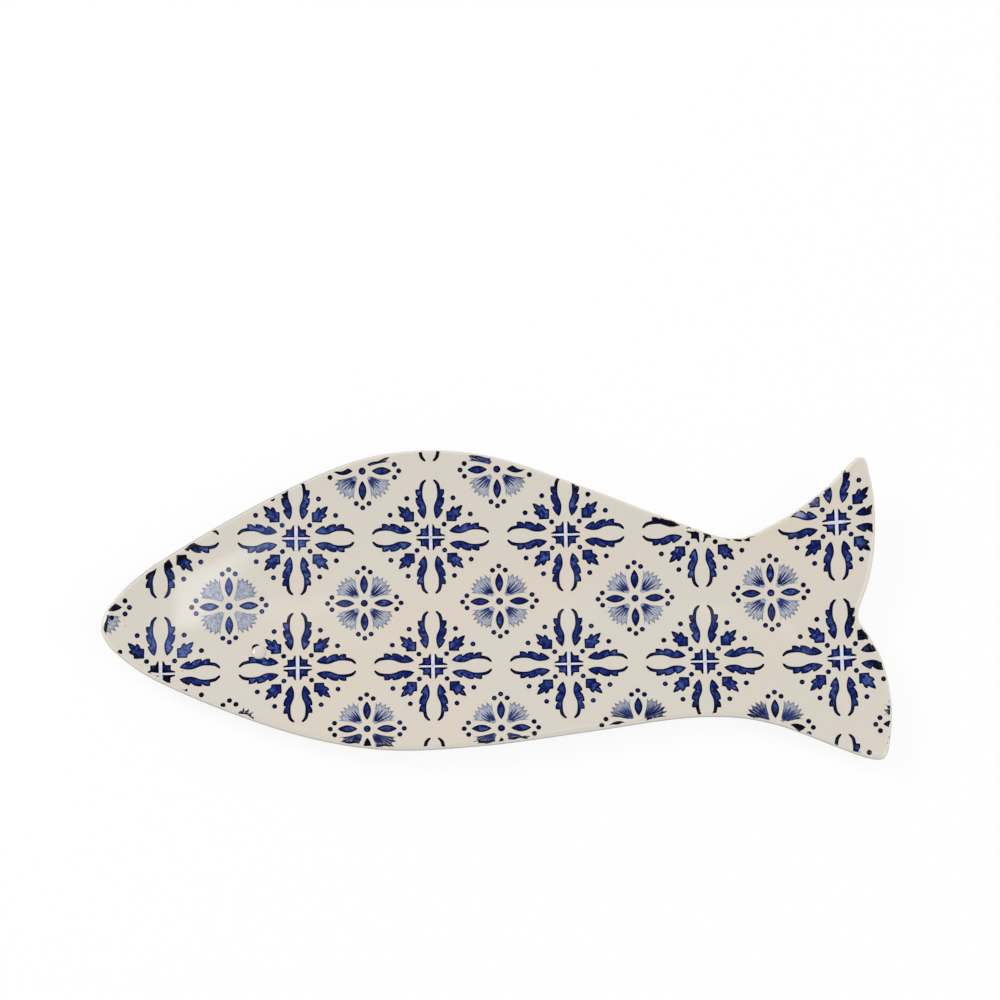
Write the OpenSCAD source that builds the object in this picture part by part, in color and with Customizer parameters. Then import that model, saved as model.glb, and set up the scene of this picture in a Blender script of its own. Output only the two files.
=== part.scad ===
// Fish shaped serving platter. It is one fired piece: a shallow dish with a rounded rim, a
// moulded foot ring and a tail that lifts and twists, so that the upper fin stands highest.
// Glaze coats the face, the rim and the back, and stops short of the edge that it stands on.
// Nose at -X, tail at +X, back of the fish at +Y, face up, foot on Z = 0.

/* [Plan] */
// Length from the nose to the ends of the tail
platter_l = 400; // [300:5:480]
// Width from the top of the back to the end of the lower fin
platter_w = 163.5; // [140:0.5:190]

/* [Section] */
// Thickness through clay and glaze along the middle of the fish
middle_t = 6.5; // [5.6:0.1:8]
// Thickness through clay and glaze at the rim
rim_t = 5; // [4:0.1:5.4]
// Slope of the face at the rim, as rise over run
rim_slope_share = 0.18; // [0.1:0.01:0.24]

/* [Tail] */
// Length of the tail end that lifts
tail_l = 160; // [120:5:180]
// Height that the middle of the tail lifts at its end
tail_lift = 6; // [0:0.5:12]
// Height that the twist adds at the tip of the upper fin, and takes from the lower one
tail_twist = 7.5; // [0:0.5:9]

/* [Foot] */
// Distance from the nose to the oval foot ring, at the middle of its ground edge
foot_nose_gap = 50; // [44:1:70]
// Distance from the end of the tail to the foot ring
foot_tail_gap = 100; // [94:1:130]
// Distance from the top of the fish's back to the foot ring
foot_back_gap = 43; // [36:1:50]
// Distance from the lowest part of the fish to the foot ring
foot_belly_gap = 37; // [33:1:44]
// Height of the hollow inside the foot ring
foot_h = 2; // [1.5:0.1:4]
// Width of the ground edge that the platter stands on
foot_w = 4.5; // [3:0.1:5.5]
// Run of each sloping side of the foot ring
foot_side = 1.4; // [0.8:0.1:1.8]
// Height of the bare clay that shows above the ground edge
foot_bare_h = 0.8; // [0.4:0.1:1.2]

/* [Glaze] */
// Thickness of the glaze
glaze_t = 0.5; // [0.3:0.05:0.8]

/* [Eye] */
// Diameter of the bead that makes the eye
eye_d = 6.8; // [5:0.1:7.5]
// Height of the bead above the face
eye_h = 1.3; // [0.8:0.1:2.5]

/* [Hidden] */

clay_tint = [0.84, 0.77, 0.67];
glaze_tint = [0.87, 0.84, 0.79];
bead_tint = [0.90, 0.88, 0.84];

// Knots of the edge, clockwise from the nose, as shares of the length and the width
edge_shares = [
    [-0.500, -0.0755], [-0.485, 0.0125], [-0.429, 0.137], [-0.268, 0.3715],
    [-0.147, 0.4855], [-0.0195, 0.487], [0.121, 0.375], [0.2225, 0.2775], [0.304, 0.2145],
    [0.3625, 0.2685], [0.4135, 0.3525], [0.443, 0.4195], [0.459, 0.454], [0.469, 0.452],
    [0.474, 0.419], [0.481, 0.320], [0.481, 0.1855], [0.4735, 0.0735], [0.459, -0.0415],
    [0.472, -0.102], [0.4885, -0.182], [0.499, -0.312], [0.4975, -0.4235], [0.490, -0.4935],
    [0.4715, -0.497], [0.4315, -0.4615], [0.390, -0.4195], [0.353, -0.3865], [0.3025, -0.363],
    [0.233, -0.366], [0.1195, -0.4085], [-0.019, -0.4565], [-0.145, -0.468],
    [-0.265, -0.4085], [-0.4235, -0.253], [-0.485, -0.1475],
];

// Knots of the keel of the face, the deepest line of the dish, as shares of the same sizes
face_keel_shares = [
    [-0.320, -0.0415], [-0.295, -0.0335], [-0.225, -0.022], [-0.135, -0.004], [-0.020, 0.0055],
    [0.110, -0.016], [0.215, -0.0385], [0.290, -0.051], [0.350, -0.0415], [0.375, -0.0335],
];

// Knots of the keel of the back, along the middle of the foot ring, as shares of the ring's length
back_keel_shares = [-0.39, -0.35, -0.25, -0.11, 0.06, 0.23, 0.34, 0.39, 0.41, 0.42];

// The knot of both keels that each knot of the edge faces
keel_of_edge = [
    0, 0, 1, 2, 3, 4, 5, 6, 7, 8, 9, 9, 9, 9, 9, 9, 9, 9, 9, 9, 9, 9, 9, 9, 9, 9, 9, 8,
    7, 6, 5, 4, 3, 2, 1, 0,
];

// Points to each stretch between knots
steps = 4;

// Places of the rings on the face, as shares of the way from the rim to the keel
ring_shares = [0, 0.15, 0.34, 0.57, 0.80];
// Angles of the rings round the rim, from the face to the back
rim_angles = [45, 0];
// Angle below the middle of the rim where the face glaze meets the back glaze
glaze_seam_angle = -35;
// Place of the rings of the back between two others, as a share of the way
back_mid_share = 0.5;

// Slope of the foot ring's side at the ground edge, as a share of a straight one
foot_curve_share = 0.5;

// Place of the eye, as shares of the length and the width
eye_place_share = [-0.300, -0.151];
// Lines of the face on each side of the eye that its bead may spread over
eye_side_lines = 2;
// Share of the bead's height that its upright side takes
eye_side_share = 0.35;
// Points on the curve of the bead's dome
eye_curve_points = 10;

// Sizes worked out from those above

knot_count = len(edge_shares);
point_count = knot_count * steps;
rim_r = rim_t / 2;
face_z = foot_h + middle_t;
foot_half = [
    (platter_l - foot_nose_gap - foot_tail_gap) / 2,
    (platter_w - foot_back_gap - foot_belly_gap) / 2,
];
foot_middle = [(foot_nose_gap - foot_tail_gap) / 2, (foot_belly_gap - foot_back_gap) / 2];

// Edge and keels

edge_knots = [for (s = edge_shares) [s.x * platter_l, s.y * platter_w]];
face_keel_knots = [for (s = face_keel_shares) [s.x * platter_l, s.y * platter_w]];
back_keel_knots = [for (s = back_keel_shares) foot_middle + [s * 2 * foot_half.x, 0]];

function ahead(i) = (i + 1) % knot_count;
function behind(i) = (i + knot_count - 1) % knot_count;

gaps = [for (i = [0:knot_count - 1]) norm(edge_knots[ahead(i)] - edge_knots[i])];
leans = [for (i = [0:knot_count - 1])
    (edge_knots[ahead(i)] - edge_knots[behind(i)]) / (gaps[behind(i)] + gaps[i])];

// A smooth curve through the knots of the edge, at knot i and share f of the way to the next
function edge_at(i, f) =
    let (a = edge_knots[i], b = edge_knots[ahead(i)])
    a * (2 * f^3 - 3 * f^2 + 1) + b * (3 * f^2 - 2 * f^3)
    + gaps[i] * (leans[i] * (f^3 - 2 * f^2 + f) + leans[ahead(i)] * (f^3 - f^2));

// The direction of that curve there
function edge_way_at(i, f) =
    let (
        a = edge_knots[i],
        b = edge_knots[ahead(i)],
        way = (b - a) * (6 * f - 6 * f^2)
            + gaps[i] * (leans[i] * (3 * f^2 - 4 * f + 1) + leans[ahead(i)] * (3 * f^2 - 2 * f))
    )
    way / norm(way);

// The crest of the rim, half a rim's thickness inside the edge
function crest_at(i, f) = let (way = edge_way_at(i, f)) edge_at(i, f) + [way.y, -way.x] * rim_r;

// The point of a keel that faces that place on the edge
function keel_at(knots, i, f) =
    let (a = knots[keel_of_edge[i]], b = knots[keel_of_edge[ahead(i)]])
    a + (b - a) * f;

// Every point of a keel once, from the head to the tail
function keel_points(knots) = concat(
    [for (k = [0:len(knots) - 2], j = [0:steps - 1]) knots[k] + (knots[k + 1] - knots[k]) * j / steps],
    [knots[len(knots) - 1]]
);

// Number of the keel point that faces point n of the edge
function keel_number(n) =
    let (i = floor(n / steps), j = n % steps, a = keel_of_edge[i], b = keel_of_edge[ahead(i)])
    a * steps + (b - a) * j;

edge = [for (i = [0:knot_count - 1], j = [0:steps - 1]) edge_at(i, j / steps)];
crest = [for (i = [0:knot_count - 1], j = [0:steps - 1]) crest_at(i, j / steps)];
face_facing = [for (i = [0:knot_count - 1], j = [0:steps - 1]) keel_at(face_keel_knots, i, j / steps)];
back_facing = [for (i = [0:knot_count - 1], j = [0:steps - 1]) keel_at(back_keel_knots, i, j / steps)];
keel_numbers = [for (n = [0:point_count - 1]) keel_number(n)];

// Heights

// Height that the lift and twist of the tail give a place in the plan
function tail_rise(p) =
    let (along = max(0, (p.x - platter_l / 2 + tail_l) / tail_l), across = p.y / (platter_w / 2))
    tail_lift * along^2 + tail_twist * across * along^3;

// Distance from a place on the crest of the rim to the keel of the face that it faces
face_reach = [for (n = [0:point_count - 1]) norm(face_facing[n] - crest[n])];
back_reach = [for (n = [0:point_count - 1]) norm(back_facing[n] - crest[n])];

// Height of the rim's crest above the keel of the face, which its slope and reach give
function crest_rise(reach) = rim_slope_share * reach / 2;

function face_plan(n, share) = crest[n] + (face_facing[n] - crest[n]) * share;
function back_plan(n, share) = crest[n] + (back_facing[n] - crest[n]) * share;

// Height of the face on line n, at a share of the way from the rim's crest to the keel
function face_height(n, share) =
    face_z + tail_rise(face_plan(n, share)) + crest_rise(face_reach[n]) * (1 - share)^2;

// Height of the back on line n, which falls away from the rim as steeply as the face does
function back_height(n, share) =
    foot_h + tail_rise(back_plan(n, share))
    + (crest_rise(face_reach[n]) + middle_t - rim_t) * (1 - share)^(2 * back_reach[n] / face_reach[n]);

// Rings of points, one to each line from the edge to a keel

function lines() = [0:point_count - 1];

function raised(p, z) = [p.x, p.y, z];

function face_ring(share, depth) =
    [for (n = lines()) raised(face_plan(n, share), face_height(n, share) - depth)];

function rim_ring(angle, depth) =
    [for (n = lines())
        let (r = rim_r - depth, outward = (edge[n] - crest[n]) / rim_r)
        raised(crest[n] + outward * r * cos(angle), face_height(n, 0) - rim_r + r * sin(angle))];

function back_ring(shares, depth) =
    [for (n = lines()) raised(back_plan(n, shares[n]), back_height(n, shares[n]) + depth)];

// Share of the way at which each line of the back crosses the oval of the foot, grown by a width
function foot_shares(grow) =
    [for (n = lines())
        let (
            half = foot_half + [grow, grow],
            from = crest[n] - foot_middle,
            way = back_facing[n] - crest[n],
            q = [from.x / half.x, from.y / half.y],
            u = [way.x / half.x, way.y / half.y]
        )
        (-q * u - sqrt((q * u)^2 - (u * u) * (q * q - 1))) / (u * u)];

function mixed(a, b, share) = [for (n = lines()) a[n] + (b[n] - a[n]) * share];

rim_shares = [for (n = lines()) 0];
keel_line_shares = [for (n = lines()) 1];

// Growth of the oval at the top of the foot ring's outer side (1) or inner side (-1)
function foot_top(side, depth) = side * (foot_w / 2 + foot_side + glaze_t - depth);

// Run of the foot ring's side from the ground edge up to the line where the glaze ends
foot_bare_run = foot_side * foot_curve_share * foot_bare_h / foot_h;

// Ring on a side of the foot ring, where the glaze ends
function foot_line_ring(side, depth) =
    let (shares = foot_shares(side * (foot_w / 2 + foot_bare_run + glaze_t - depth)))
    [for (n = lines()) raised(back_plan(n, shares[n]), foot_bare_h)];

// Ring at a corner of the ground edge
function ground_ring(side) =
    let (shares = foot_shares(side * foot_w / 2))
    [for (n = lines()) raised(back_plan(n, shares[n]), 0)];

function face_keel(depth) =
    [for (p = keel_points(face_keel_knots)) raised(p, face_z + tail_rise(p) - depth)];
function back_keel(depth) =
    [for (p = keel_points(back_keel_knots)) raised(p, foot_h + tail_rise(p) + depth)];

// Solids from rings

function follower(n) = (n + 1) % point_count;

// Two triangles to each line, between ring k and another
function band(k, next) =
    [for (n = lines())
        let (
            a = k * point_count + n,
            b = k * point_count + follower(n),
            c = next * point_count + follower(n),
            d = next * point_count + n
        )
        each [[a, d, c], [a, c, b]]];

// Rings from a keel on top, out over the rim and back to a keel below
module keeled_skin(top_keel, rings, low_keel) {
    count = len(rings);
    top = count * point_count;
    low = top + len(top_keel);
    last = (count - 1) * point_count;
    faces = concat(
        [for (n = lines())
            let (a = top + keel_numbers[n], b = top + keel_numbers[follower(n)], c = follower(n))
            each a == b ? [[a, n, c]] : [[a, n, c], [a, c, b]]],
        [for (k = [0:count - 2]) each band(k, k + 1)],
        [for (n = lines())
            let (
                a = last + n,
                b = last + follower(n),
                c = low + keel_numbers[follower(n)],
                d = low + keel_numbers[n]
            )
            each c == d ? [[a, c, b]] : [[a, d, c], [a, c, b]]]
    );
    polyhedron(points = concat([for (r = rings) each r], top_keel, low_keel), faces = faces);
}

// Rings that close on themselves
module hoop_skin(rings) {
    count = len(rings);
    polyhedron(
        points = [for (r = rings) each r],
        faces = [for (k = [0:count - 1]) each band(k, (k + 1) % count)]
    );
}

function reversed(list) = [for (i = [len(list) - 1:-1:0]) list[i]];

// Rings of the face from the keel to the rim, and round the rim to the glaze seam
function face_rings(depth) = concat(
    [for (s = reversed(ring_shares)) face_ring(s, depth)],
    [for (a = rim_angles) rim_ring(a, depth)],
    [rim_ring(glaze_seam_angle, depth)]
);

// Rings of the back from under the rim to the outer side of the foot ring
function outer_back_rings(depth) =
    let (top = foot_shares(foot_top(1, depth)))
    [
        back_ring(rim_shares, depth),
        back_ring(mixed(rim_shares, top, back_mid_share), depth),
        back_ring(top, depth),
        foot_line_ring(1, depth),
    ];

// Rings of the back from the inner side of the foot ring towards the keel
function inner_back_rings(depth) =
    let (top = foot_shares(foot_top(-1, depth)))
    [
        foot_line_ring(-1, depth),
        back_ring(top, depth),
        back_ring(mixed(top, keel_line_shares, back_mid_share), depth),
    ];

// The fired clay, with the foot ring moulded in one with it
module clay_body() {
    color(clay_tint)
    keeled_skin(
        face_keel(glaze_t),
        concat(
            face_rings(glaze_t),
            outer_back_rings(glaze_t),
            [ground_ring(1), ground_ring(-1)],
            inner_back_rings(glaze_t)
        ),
        back_keel(glaze_t)
    );
}

// The coat of glaze on the face, which turns over the rim
module face_glaze() {
    color(glaze_tint)
    keeled_skin(
        face_keel(0),
        concat(face_rings(0), reversed(face_rings(glaze_t))),
        face_keel(glaze_t)
    );
}

// The coat on the back, in two areas: outside the foot ring and inside it
module back_glaze() {
    color(glaze_tint) {
        hoop_skin(concat(
            reversed(outer_back_rings(glaze_t)),
            [rim_ring(glaze_seam_angle, glaze_t), rim_ring(glaze_seam_angle, 0)],
            outer_back_rings(0)
        ));
        keeled_skin(
            back_keel(glaze_t),
            concat(reversed(inner_back_rings(glaze_t)), inner_back_rings(0)),
            back_keel(0)
        );
    }
}

// Eye

eye_spot = [eye_place_share.x * platter_l, eye_place_share.y * platter_w];

// Share of the way along line n of the face where it passes nearest a place in the plan
function nearest_share(n, p) =
    let (way = face_facing[n] - crest[n])
    min(1, max(0, (p - crest[n]) * way / (way * way)));

eye_gaps = [for (n = lines()) norm(eye_spot - face_plan(n, nearest_share(n, eye_spot)))];
eye_line = [for (n = lines()) if (eye_gaps[n] == min(eye_gaps)) n][0];
eye_z = face_height(eye_line, nearest_share(eye_line, eye_spot));
eye_side_h = eye_h * eye_side_share;
// Radius of the ball that the dome is cut from
eye_ball_r = ((eye_d / 2)^2 + (eye_h - eye_side_h)^2) / (2 * (eye_h - eye_side_h));
eye_cap_angle = asin(eye_d / 2 / eye_ball_r);

// A block that stands on the facets of the face round the eye
module eye_seat() {
    columns = [for (k = [-eye_side_lines:eye_side_lines]) (eye_line + k + point_count) % point_count];
    wide = len(columns);
    rows = len(ring_shares);
    low = [for (s = ring_shares, n = columns) raised(face_plan(n, s), face_height(n, s))];
    tall = [for (p = low) raised(p, eye_z + eye_d)];
    up = len(low);
    polyhedron(
        points = concat(low, tall),
        faces = concat(
            [for (r = [0:rows - 2], c = [0:wide - 2])
                let (a = r * wide + c, b = a + 1, d = a + wide, e = d + 1)
                each [[d, a, b], [d, b, e], [up + d, up + b, up + a], [up + d, up + e, up + b]]],
            [for (a = [0:wide - 2]) [a, up + a, up + a + 1, a + 1]],
            [for (a = [up - wide:up - 2]) [a + 1, up + a + 1, up + a, a]],
            [for (r = [0:rows - 2])
                let (a = r * wide, b = a + wide)
                [b, up + b, up + a, a]],
            [for (r = [0:rows - 2])
                let (a = r * wide + wide - 1, b = a + wide)
                [a, up + a, up + b, b]]
        )
    );
}

// The small domed bead on the head
module eye_bead() {
    color(bead_tint)
    intersection() {
        translate([eye_spot.x, eye_spot.y, eye_z])
            rotate_extrude($fn = 64)
            polygon(concat(
                [[0, -eye_h], [eye_d / 2, -eye_h]],
                [for (k = [0:eye_curve_points])
                    let (a = eye_cap_angle * (1 - k / eye_curve_points))
                    [eye_ball_r * sin(a), eye_h - eye_ball_r * (1 - cos(a))]]
            ));
        eye_seat();
    }
}

clay_body();
face_glaze();
back_glaze();
eye_bead();
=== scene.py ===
"""Dresses the fish shaped platter: glazed earthenware with a blue tile pattern printed on its face.

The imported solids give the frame. PlatterForm holds the sizes and curves that the solids have too.
FaceRelief and Dish build the clay and each coat of glaze from them with finer facets, EyeBead the
raised eye, and TilePrint lays the tile pattern on the face. Each finish is a small class of its
own. Lengths are in metres, shares are parts of a named length.
"""
from __future__ import annotations

import logging
import math
import random
from dataclasses import dataclass, field
from enum import Enum

import bpy
import numpy as np
from mathutils import Matrix, Vector
from mathutils.bvhtree import BVHTree
from mathutils.geometry import delaunay_2d_cdt


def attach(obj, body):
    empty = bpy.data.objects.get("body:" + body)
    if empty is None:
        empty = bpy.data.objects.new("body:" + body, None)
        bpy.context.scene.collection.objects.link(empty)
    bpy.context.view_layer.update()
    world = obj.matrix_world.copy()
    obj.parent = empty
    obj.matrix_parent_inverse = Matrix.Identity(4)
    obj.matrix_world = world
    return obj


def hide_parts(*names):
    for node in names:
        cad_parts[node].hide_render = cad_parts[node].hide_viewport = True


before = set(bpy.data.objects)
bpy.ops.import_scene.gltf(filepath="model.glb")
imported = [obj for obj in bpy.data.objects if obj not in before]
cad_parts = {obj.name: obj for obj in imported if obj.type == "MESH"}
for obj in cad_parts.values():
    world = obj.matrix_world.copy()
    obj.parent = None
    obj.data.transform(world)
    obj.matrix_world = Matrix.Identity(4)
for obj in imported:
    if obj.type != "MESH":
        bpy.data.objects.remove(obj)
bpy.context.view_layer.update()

ROOT_BODY = "root"
SEED = 17
DIAGONAL = 45.0
POINTS_AT_A_TIME = 4000
# The height of a surface is found by looking down from overhead.
OVERHEAD = 1.0
DOWN = Vector((0, 0, -1))
# Points of a mesh that are closer than this become one.
SAME_PLACE = 1e-8
# Lengths and areas below these count as these, so that nothing is divided by zero.
LEAST_LENGTH = 1e-9
LEAST_AREA = 1e-14
LEAST_SQUARE = 1e-18
log = logging.getLogger("platter")


def srgb(red: float, green: float, blue: float) -> tuple[float, float, float, float]:
    """Turns a colour written as 0 to 255 into the linear colour that a shader takes.

    Args:
        red: The red part.
        green: The green part.
        blue: The blue part.

    Returns:
        The linear colour with a full alpha.
    """
    parts = [part / 255 for part in (red, green, blue)]
    linear = [p / 12.92 if p <= 0.04045 else ((p + 0.055) / 1.055) ** 2.4 for p in parts]
    return (*linear, 1.0)


class Bench:
    """The node tree of a new material or a world, with short calls that add nodes and join them."""

    def __init__(self, name: str, world: bpy.types.World | None = None) -> None:
        """Makes the material, or takes the world, and keeps its tree and its main shader.

        Args:
            name: The material's name.
            world: A world whose tree is wanted instead of a new material's.
        """
        self.owner = world or bpy.data.materials.new(name)
        self.owner.use_nodes = True
        self.tree = self.owner.node_tree
        if world:
            self.tree.nodes.clear()
        self.shader = self.tree.nodes.get("Principled BSDF")

    def add(self, kind: str, values: dict | None = None, **settings: object) -> bpy.types.Node:
        """Adds one node.

        Args:
            kind: The node's type.
            values: Socket names or numbers, with the value or the output that each takes.
            **settings: The node's own settings.

        Returns:
            The new node.
        """
        node = self.tree.nodes.new(kind)
        for name, value in settings.items():
            setattr(node, name, value)
        for socket, value in (values or {}).items():
            self.feed(node.inputs[socket], value)
        return node

    def feed(self, socket: bpy.types.NodeSocket, value: object) -> None:
        """Gives a socket a constant, or joins it to an output.

        Args:
            socket: The input socket.
            value: A number, a colour or an output socket.
        """
        if isinstance(value, bpy.types.NodeSocket):
            self.tree.links.new(value, socket)
        else:
            socket.default_value = value

    def mix(self, factor: object, first: object, second: object) -> bpy.types.NodeSocket:
        """Mixes two colours.

        Args:
            factor: 0 gives the first colour and 1 the second.
            first: A colour or an output.
            second: A colour or an output.

        Returns:
            The mixed colour's output.
        """
        node = self.add("ShaderNodeMix", {0: factor, 6: first, 7: second}, data_type="RGBA")
        return node.outputs[2]

    def sums(self, operation: str, first: object, second: object) -> bpy.types.NodeSocket:
        """Does one sum on numbers.

        Args:
            operation: The sum's name, such as MULTIPLY.
            first: A number or an output.
            second: A number or an output.

        Returns:
            The result's output.
        """
        return self.add("ShaderNodeMath", {0: first, 1: second}, operation=operation).outputs[0]

    def times(self, *parts: object) -> bpy.types.NodeSocket:
        """Multiplies numbers.

        Args:
            *parts: Two or more numbers or outputs.

        Returns:
            The product's output.
        """
        product = parts[0]
        for part in parts[1:]:
            product = self.sums("MULTIPLY", product, part)
        return product

    def ramp(
        self, value: object, low: float, high: float, start: float = 0.0, end: float = 1.0
    ) -> bpy.types.NodeSocket:
        """Turns one range of values smoothly into another.

        Args:
            value: The output to read.
            low: The value that gives start.
            high: The value that gives end.
            start: The result at low and below.
            end: The result at high and above.

        Returns:
            The result's output.
        """
        places = {"Value": value, "From Min": low, "From Max": high, "To Min": start, "To Max": end}
        return self.add("ShaderNodeMapRange", places, interpolation_type="SMOOTHSTEP").outputs[0]

    def fact(self, name: str) -> bpy.types.NodeSocket:
        """Returns the output of a number that the mesh carries at its points."""
        return self.add("ShaderNodeAttribute", attribute_name=name).outputs["Fac"]

    def place(self) -> bpy.types.NodeSocket:
        """Returns the point's place in the object, in metres."""
        return self.add("ShaderNodeTexCoord").outputs["Object"]

    def noise(
        self, place: object, scale: float, detail: float = 2.0, rough: float = 0.5
    ) -> bpy.types.NodeSocket:
        """Adds soft noise.

        Args:
            place: The output that gives the place.
            scale: Waves per metre, about.
            detail: How many finer layers it has.
            rough: How strong the finer layers are.

        Returns:
            The noise's output, about 0.3 to 0.7.
        """
        values = {"Vector": place, "Scale": scale, "Detail": detail, "Roughness": rough}
        return self.add("ShaderNodeTexNoise", values).outputs["Fac"]

    def coat(self, values: dict) -> None:
        """Feeds inputs of the main shader.

        Args:
            values: The inputs' names, with the value or the output that each takes.
        """
        for name, value in values.items():
            self.feed(self.shader.inputs[name], value)

    def seen(self, path: bpy.types.Node) -> bpy.types.NodeSocket:
        """Returns 1 for looks straight from the camera or through clear things, and 0 for others."""
        return self.sums("MAXIMUM", path.outputs["Is Camera Ray"], path.outputs["Is Transmission Ray"])


@dataclass(frozen=True)
class Mottle:
    """Soft random patches: noise of one scale, and the levels between which the patches rise."""

    scale: float
    detail: float
    low: float
    high: float
    rough: float = 0.5
    start: float = 0.0
    end: float = 1.0

    def on(self, bench: Bench, place: object) -> bpy.types.NodeSocket:
        """Adds the patches to a material.

        Args:
            bench: The material's bench.
            place: The output that gives the place.

        Returns:
            The patches' output, from start to end.
        """
        noise = bench.noise(place, self.scale, self.detail, self.rough)
        return bench.ramp(noise, self.low, self.high, self.start, self.end)


@dataclass(frozen=True)
class GlazeGloss:
    """The gloss that every glazed part of the platter shares, printed or not."""

    roughness: float = 0.07
    ior: float = 1.5
    wave_scale: float = 70.0
    wave_depth: float = 0.00005
    peel_scale: float = 420.0
    peel_depth: float = 0.000004

    def dress(self, bench: Bench, tone: object) -> bpy.types.Material:
        """Gives a material its tone, the gloss and the glaze's faint unevenness.

        Args:
            bench: The material's bench.
            tone: The output that gives the tone.

        Returns:
            The finished material.
        """
        place = bench.place()
        wave = bench.noise(place, self.wave_scale, detail=1.0)
        peel = bench.noise(place, self.peel_scale, detail=1.0)
        first = bench.add("ShaderNodeBump", {"Height": wave, "Distance": self.wave_depth})
        bump = {"Height": peel, "Distance": self.peel_depth, "Normal": first.outputs[0]}
        second = bench.add("ShaderNodeBump", bump)
        bench.coat({"Base Color": tone, "Roughness": self.roughness, "IOR": self.ior})
        bench.coat({"Normal": second.outputs[0]})
        return bench.owner


@dataclass(frozen=True)
class CreamGlaze:
    """Glossy cream glaze, a little uneven in tone, with pinhole specks.

    Painted shade greys it along the rim's outer edge, round the eye bead's foot and along the upper rim
    of the head, and painted light makes it lighter on the rim's flank.
    """

    name: str = "cream_glaze"
    cream: tuple = srgb(217, 209, 196)
    warm: tuple = srgb(219, 208, 193)
    cool: tuple = srgb(214, 209, 200)
    # Painted shade: the grey of the rim's outer edge, the bead's foot and the head's upper rim.
    painted_shade: tuple = srgb(174, 169, 163)
    # Painted light: a lighter cream that evens out the shade on the rim's flank.
    flank: tuple = srgb(228, 221, 209)
    speck: tuple = srgb(150, 138, 122)
    cream_share: float = 0.5
    clouds: Mottle = Mottle(16.0, 3.0, 0.35, 0.65)
    speck_scale: float = 160.0
    speck_size: float = 0.035
    speckled: Mottle = Mottle(55.0, 1.0, 0.62, 0.66)
    head_along: tuple = (-0.05, -0.10)
    head_across: tuple = (0.0, 0.012)
    crest_flank: tuple = (0.35, 0.65, 0.0, 0.85)
    gloss: GlazeGloss = GlazeGloss()

    def material(self) -> bpy.types.Material:
        """Makes the glaze.

        Returns:
            The new material.
        """
        bench = Bench(self.name)
        place = bench.place()
        tone = bench.mix(self.clouds.on(bench, place), self.warm, self.cool)
        tone = bench.mix(self.cream_share, tone, self.cream)
        specks = bench.add("ShaderNodeTexVoronoi", {"Vector": place, "Scale": self.speck_scale})
        near = bench.ramp(specks.outputs["Distance"], self.speck_size, self.speck_size * 2, 1, 0)
        tone = bench.mix(bench.times(near, self.speckled.on(bench, place)), tone, self.speck)
        # Painted light on the rim's flank.
        tone = bench.mix(bench.fact("flank"), tone, self.flank)
        # Painted shade at the rim's outer edge and the bead's foot, then along the head's upper rim.
        tone = bench.mix(bench.fact("painted_shade"), tone, self.painted_shade)
        tone = bench.mix(self.head_rim_shade(bench, place), tone, self.painted_shade)
        return self.gloss.dress(bench, tone)

    def head_rim_shade(self, bench: Bench, place: object) -> bpy.types.NodeSocket:
        """Finds the upper rim of the head, where painted shade greys the glaze.

        Args:
            bench: The material's bench.
            place: The output that gives the place.

        Returns:
            An output that is highest along the rim's flank there and 0 elsewhere.
        """
        axes = bench.add("ShaderNodeSeparateXYZ", {0: place}).outputs
        along = bench.ramp(axes[0], *self.head_along)
        across = bench.ramp(axes[1], *self.head_across)
        return bench.times(along, across, bench.ramp(bench.fact("flank"), *self.crest_flank))


@dataclass(frozen=True)
class FiredClay:
    """Bare earthenware on the foot: matt, buff and slightly gritty."""

    name: str = "fired_clay"
    pale: tuple = srgb(214, 198, 176)
    dark: tuple = srgb(186, 164, 138)
    grit: tuple = srgb(150, 128, 104)
    blotches: Mottle = Mottle(60.0, 4.0, 0.35, 0.65)
    grain_scale: float = 1400.0
    grain_rough: float = 0.7
    grain_depth: float = 0.00008
    grit_levels: tuple = (0.62, 0.72)
    roughness: float = 0.85

    def material(self) -> bpy.types.Material:
        """Makes the clay.

        Returns:
            The new material.
        """
        bench = Bench(self.name)
        place = bench.place()
        tone = bench.mix(self.blotches.on(bench, place), self.pale, self.dark)
        grains = bench.noise(place, self.grain_scale, rough=self.grain_rough)
        tone = bench.mix(bench.ramp(grains, *self.grit_levels), tone, self.grit)
        bump = bench.add("ShaderNodeBump", {"Height": grains, "Distance": self.grain_depth})
        bench.coat({"Base Color": tone, "Roughness": self.roughness, "Normal": bump.outputs[0]})
        return bench.owner


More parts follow.
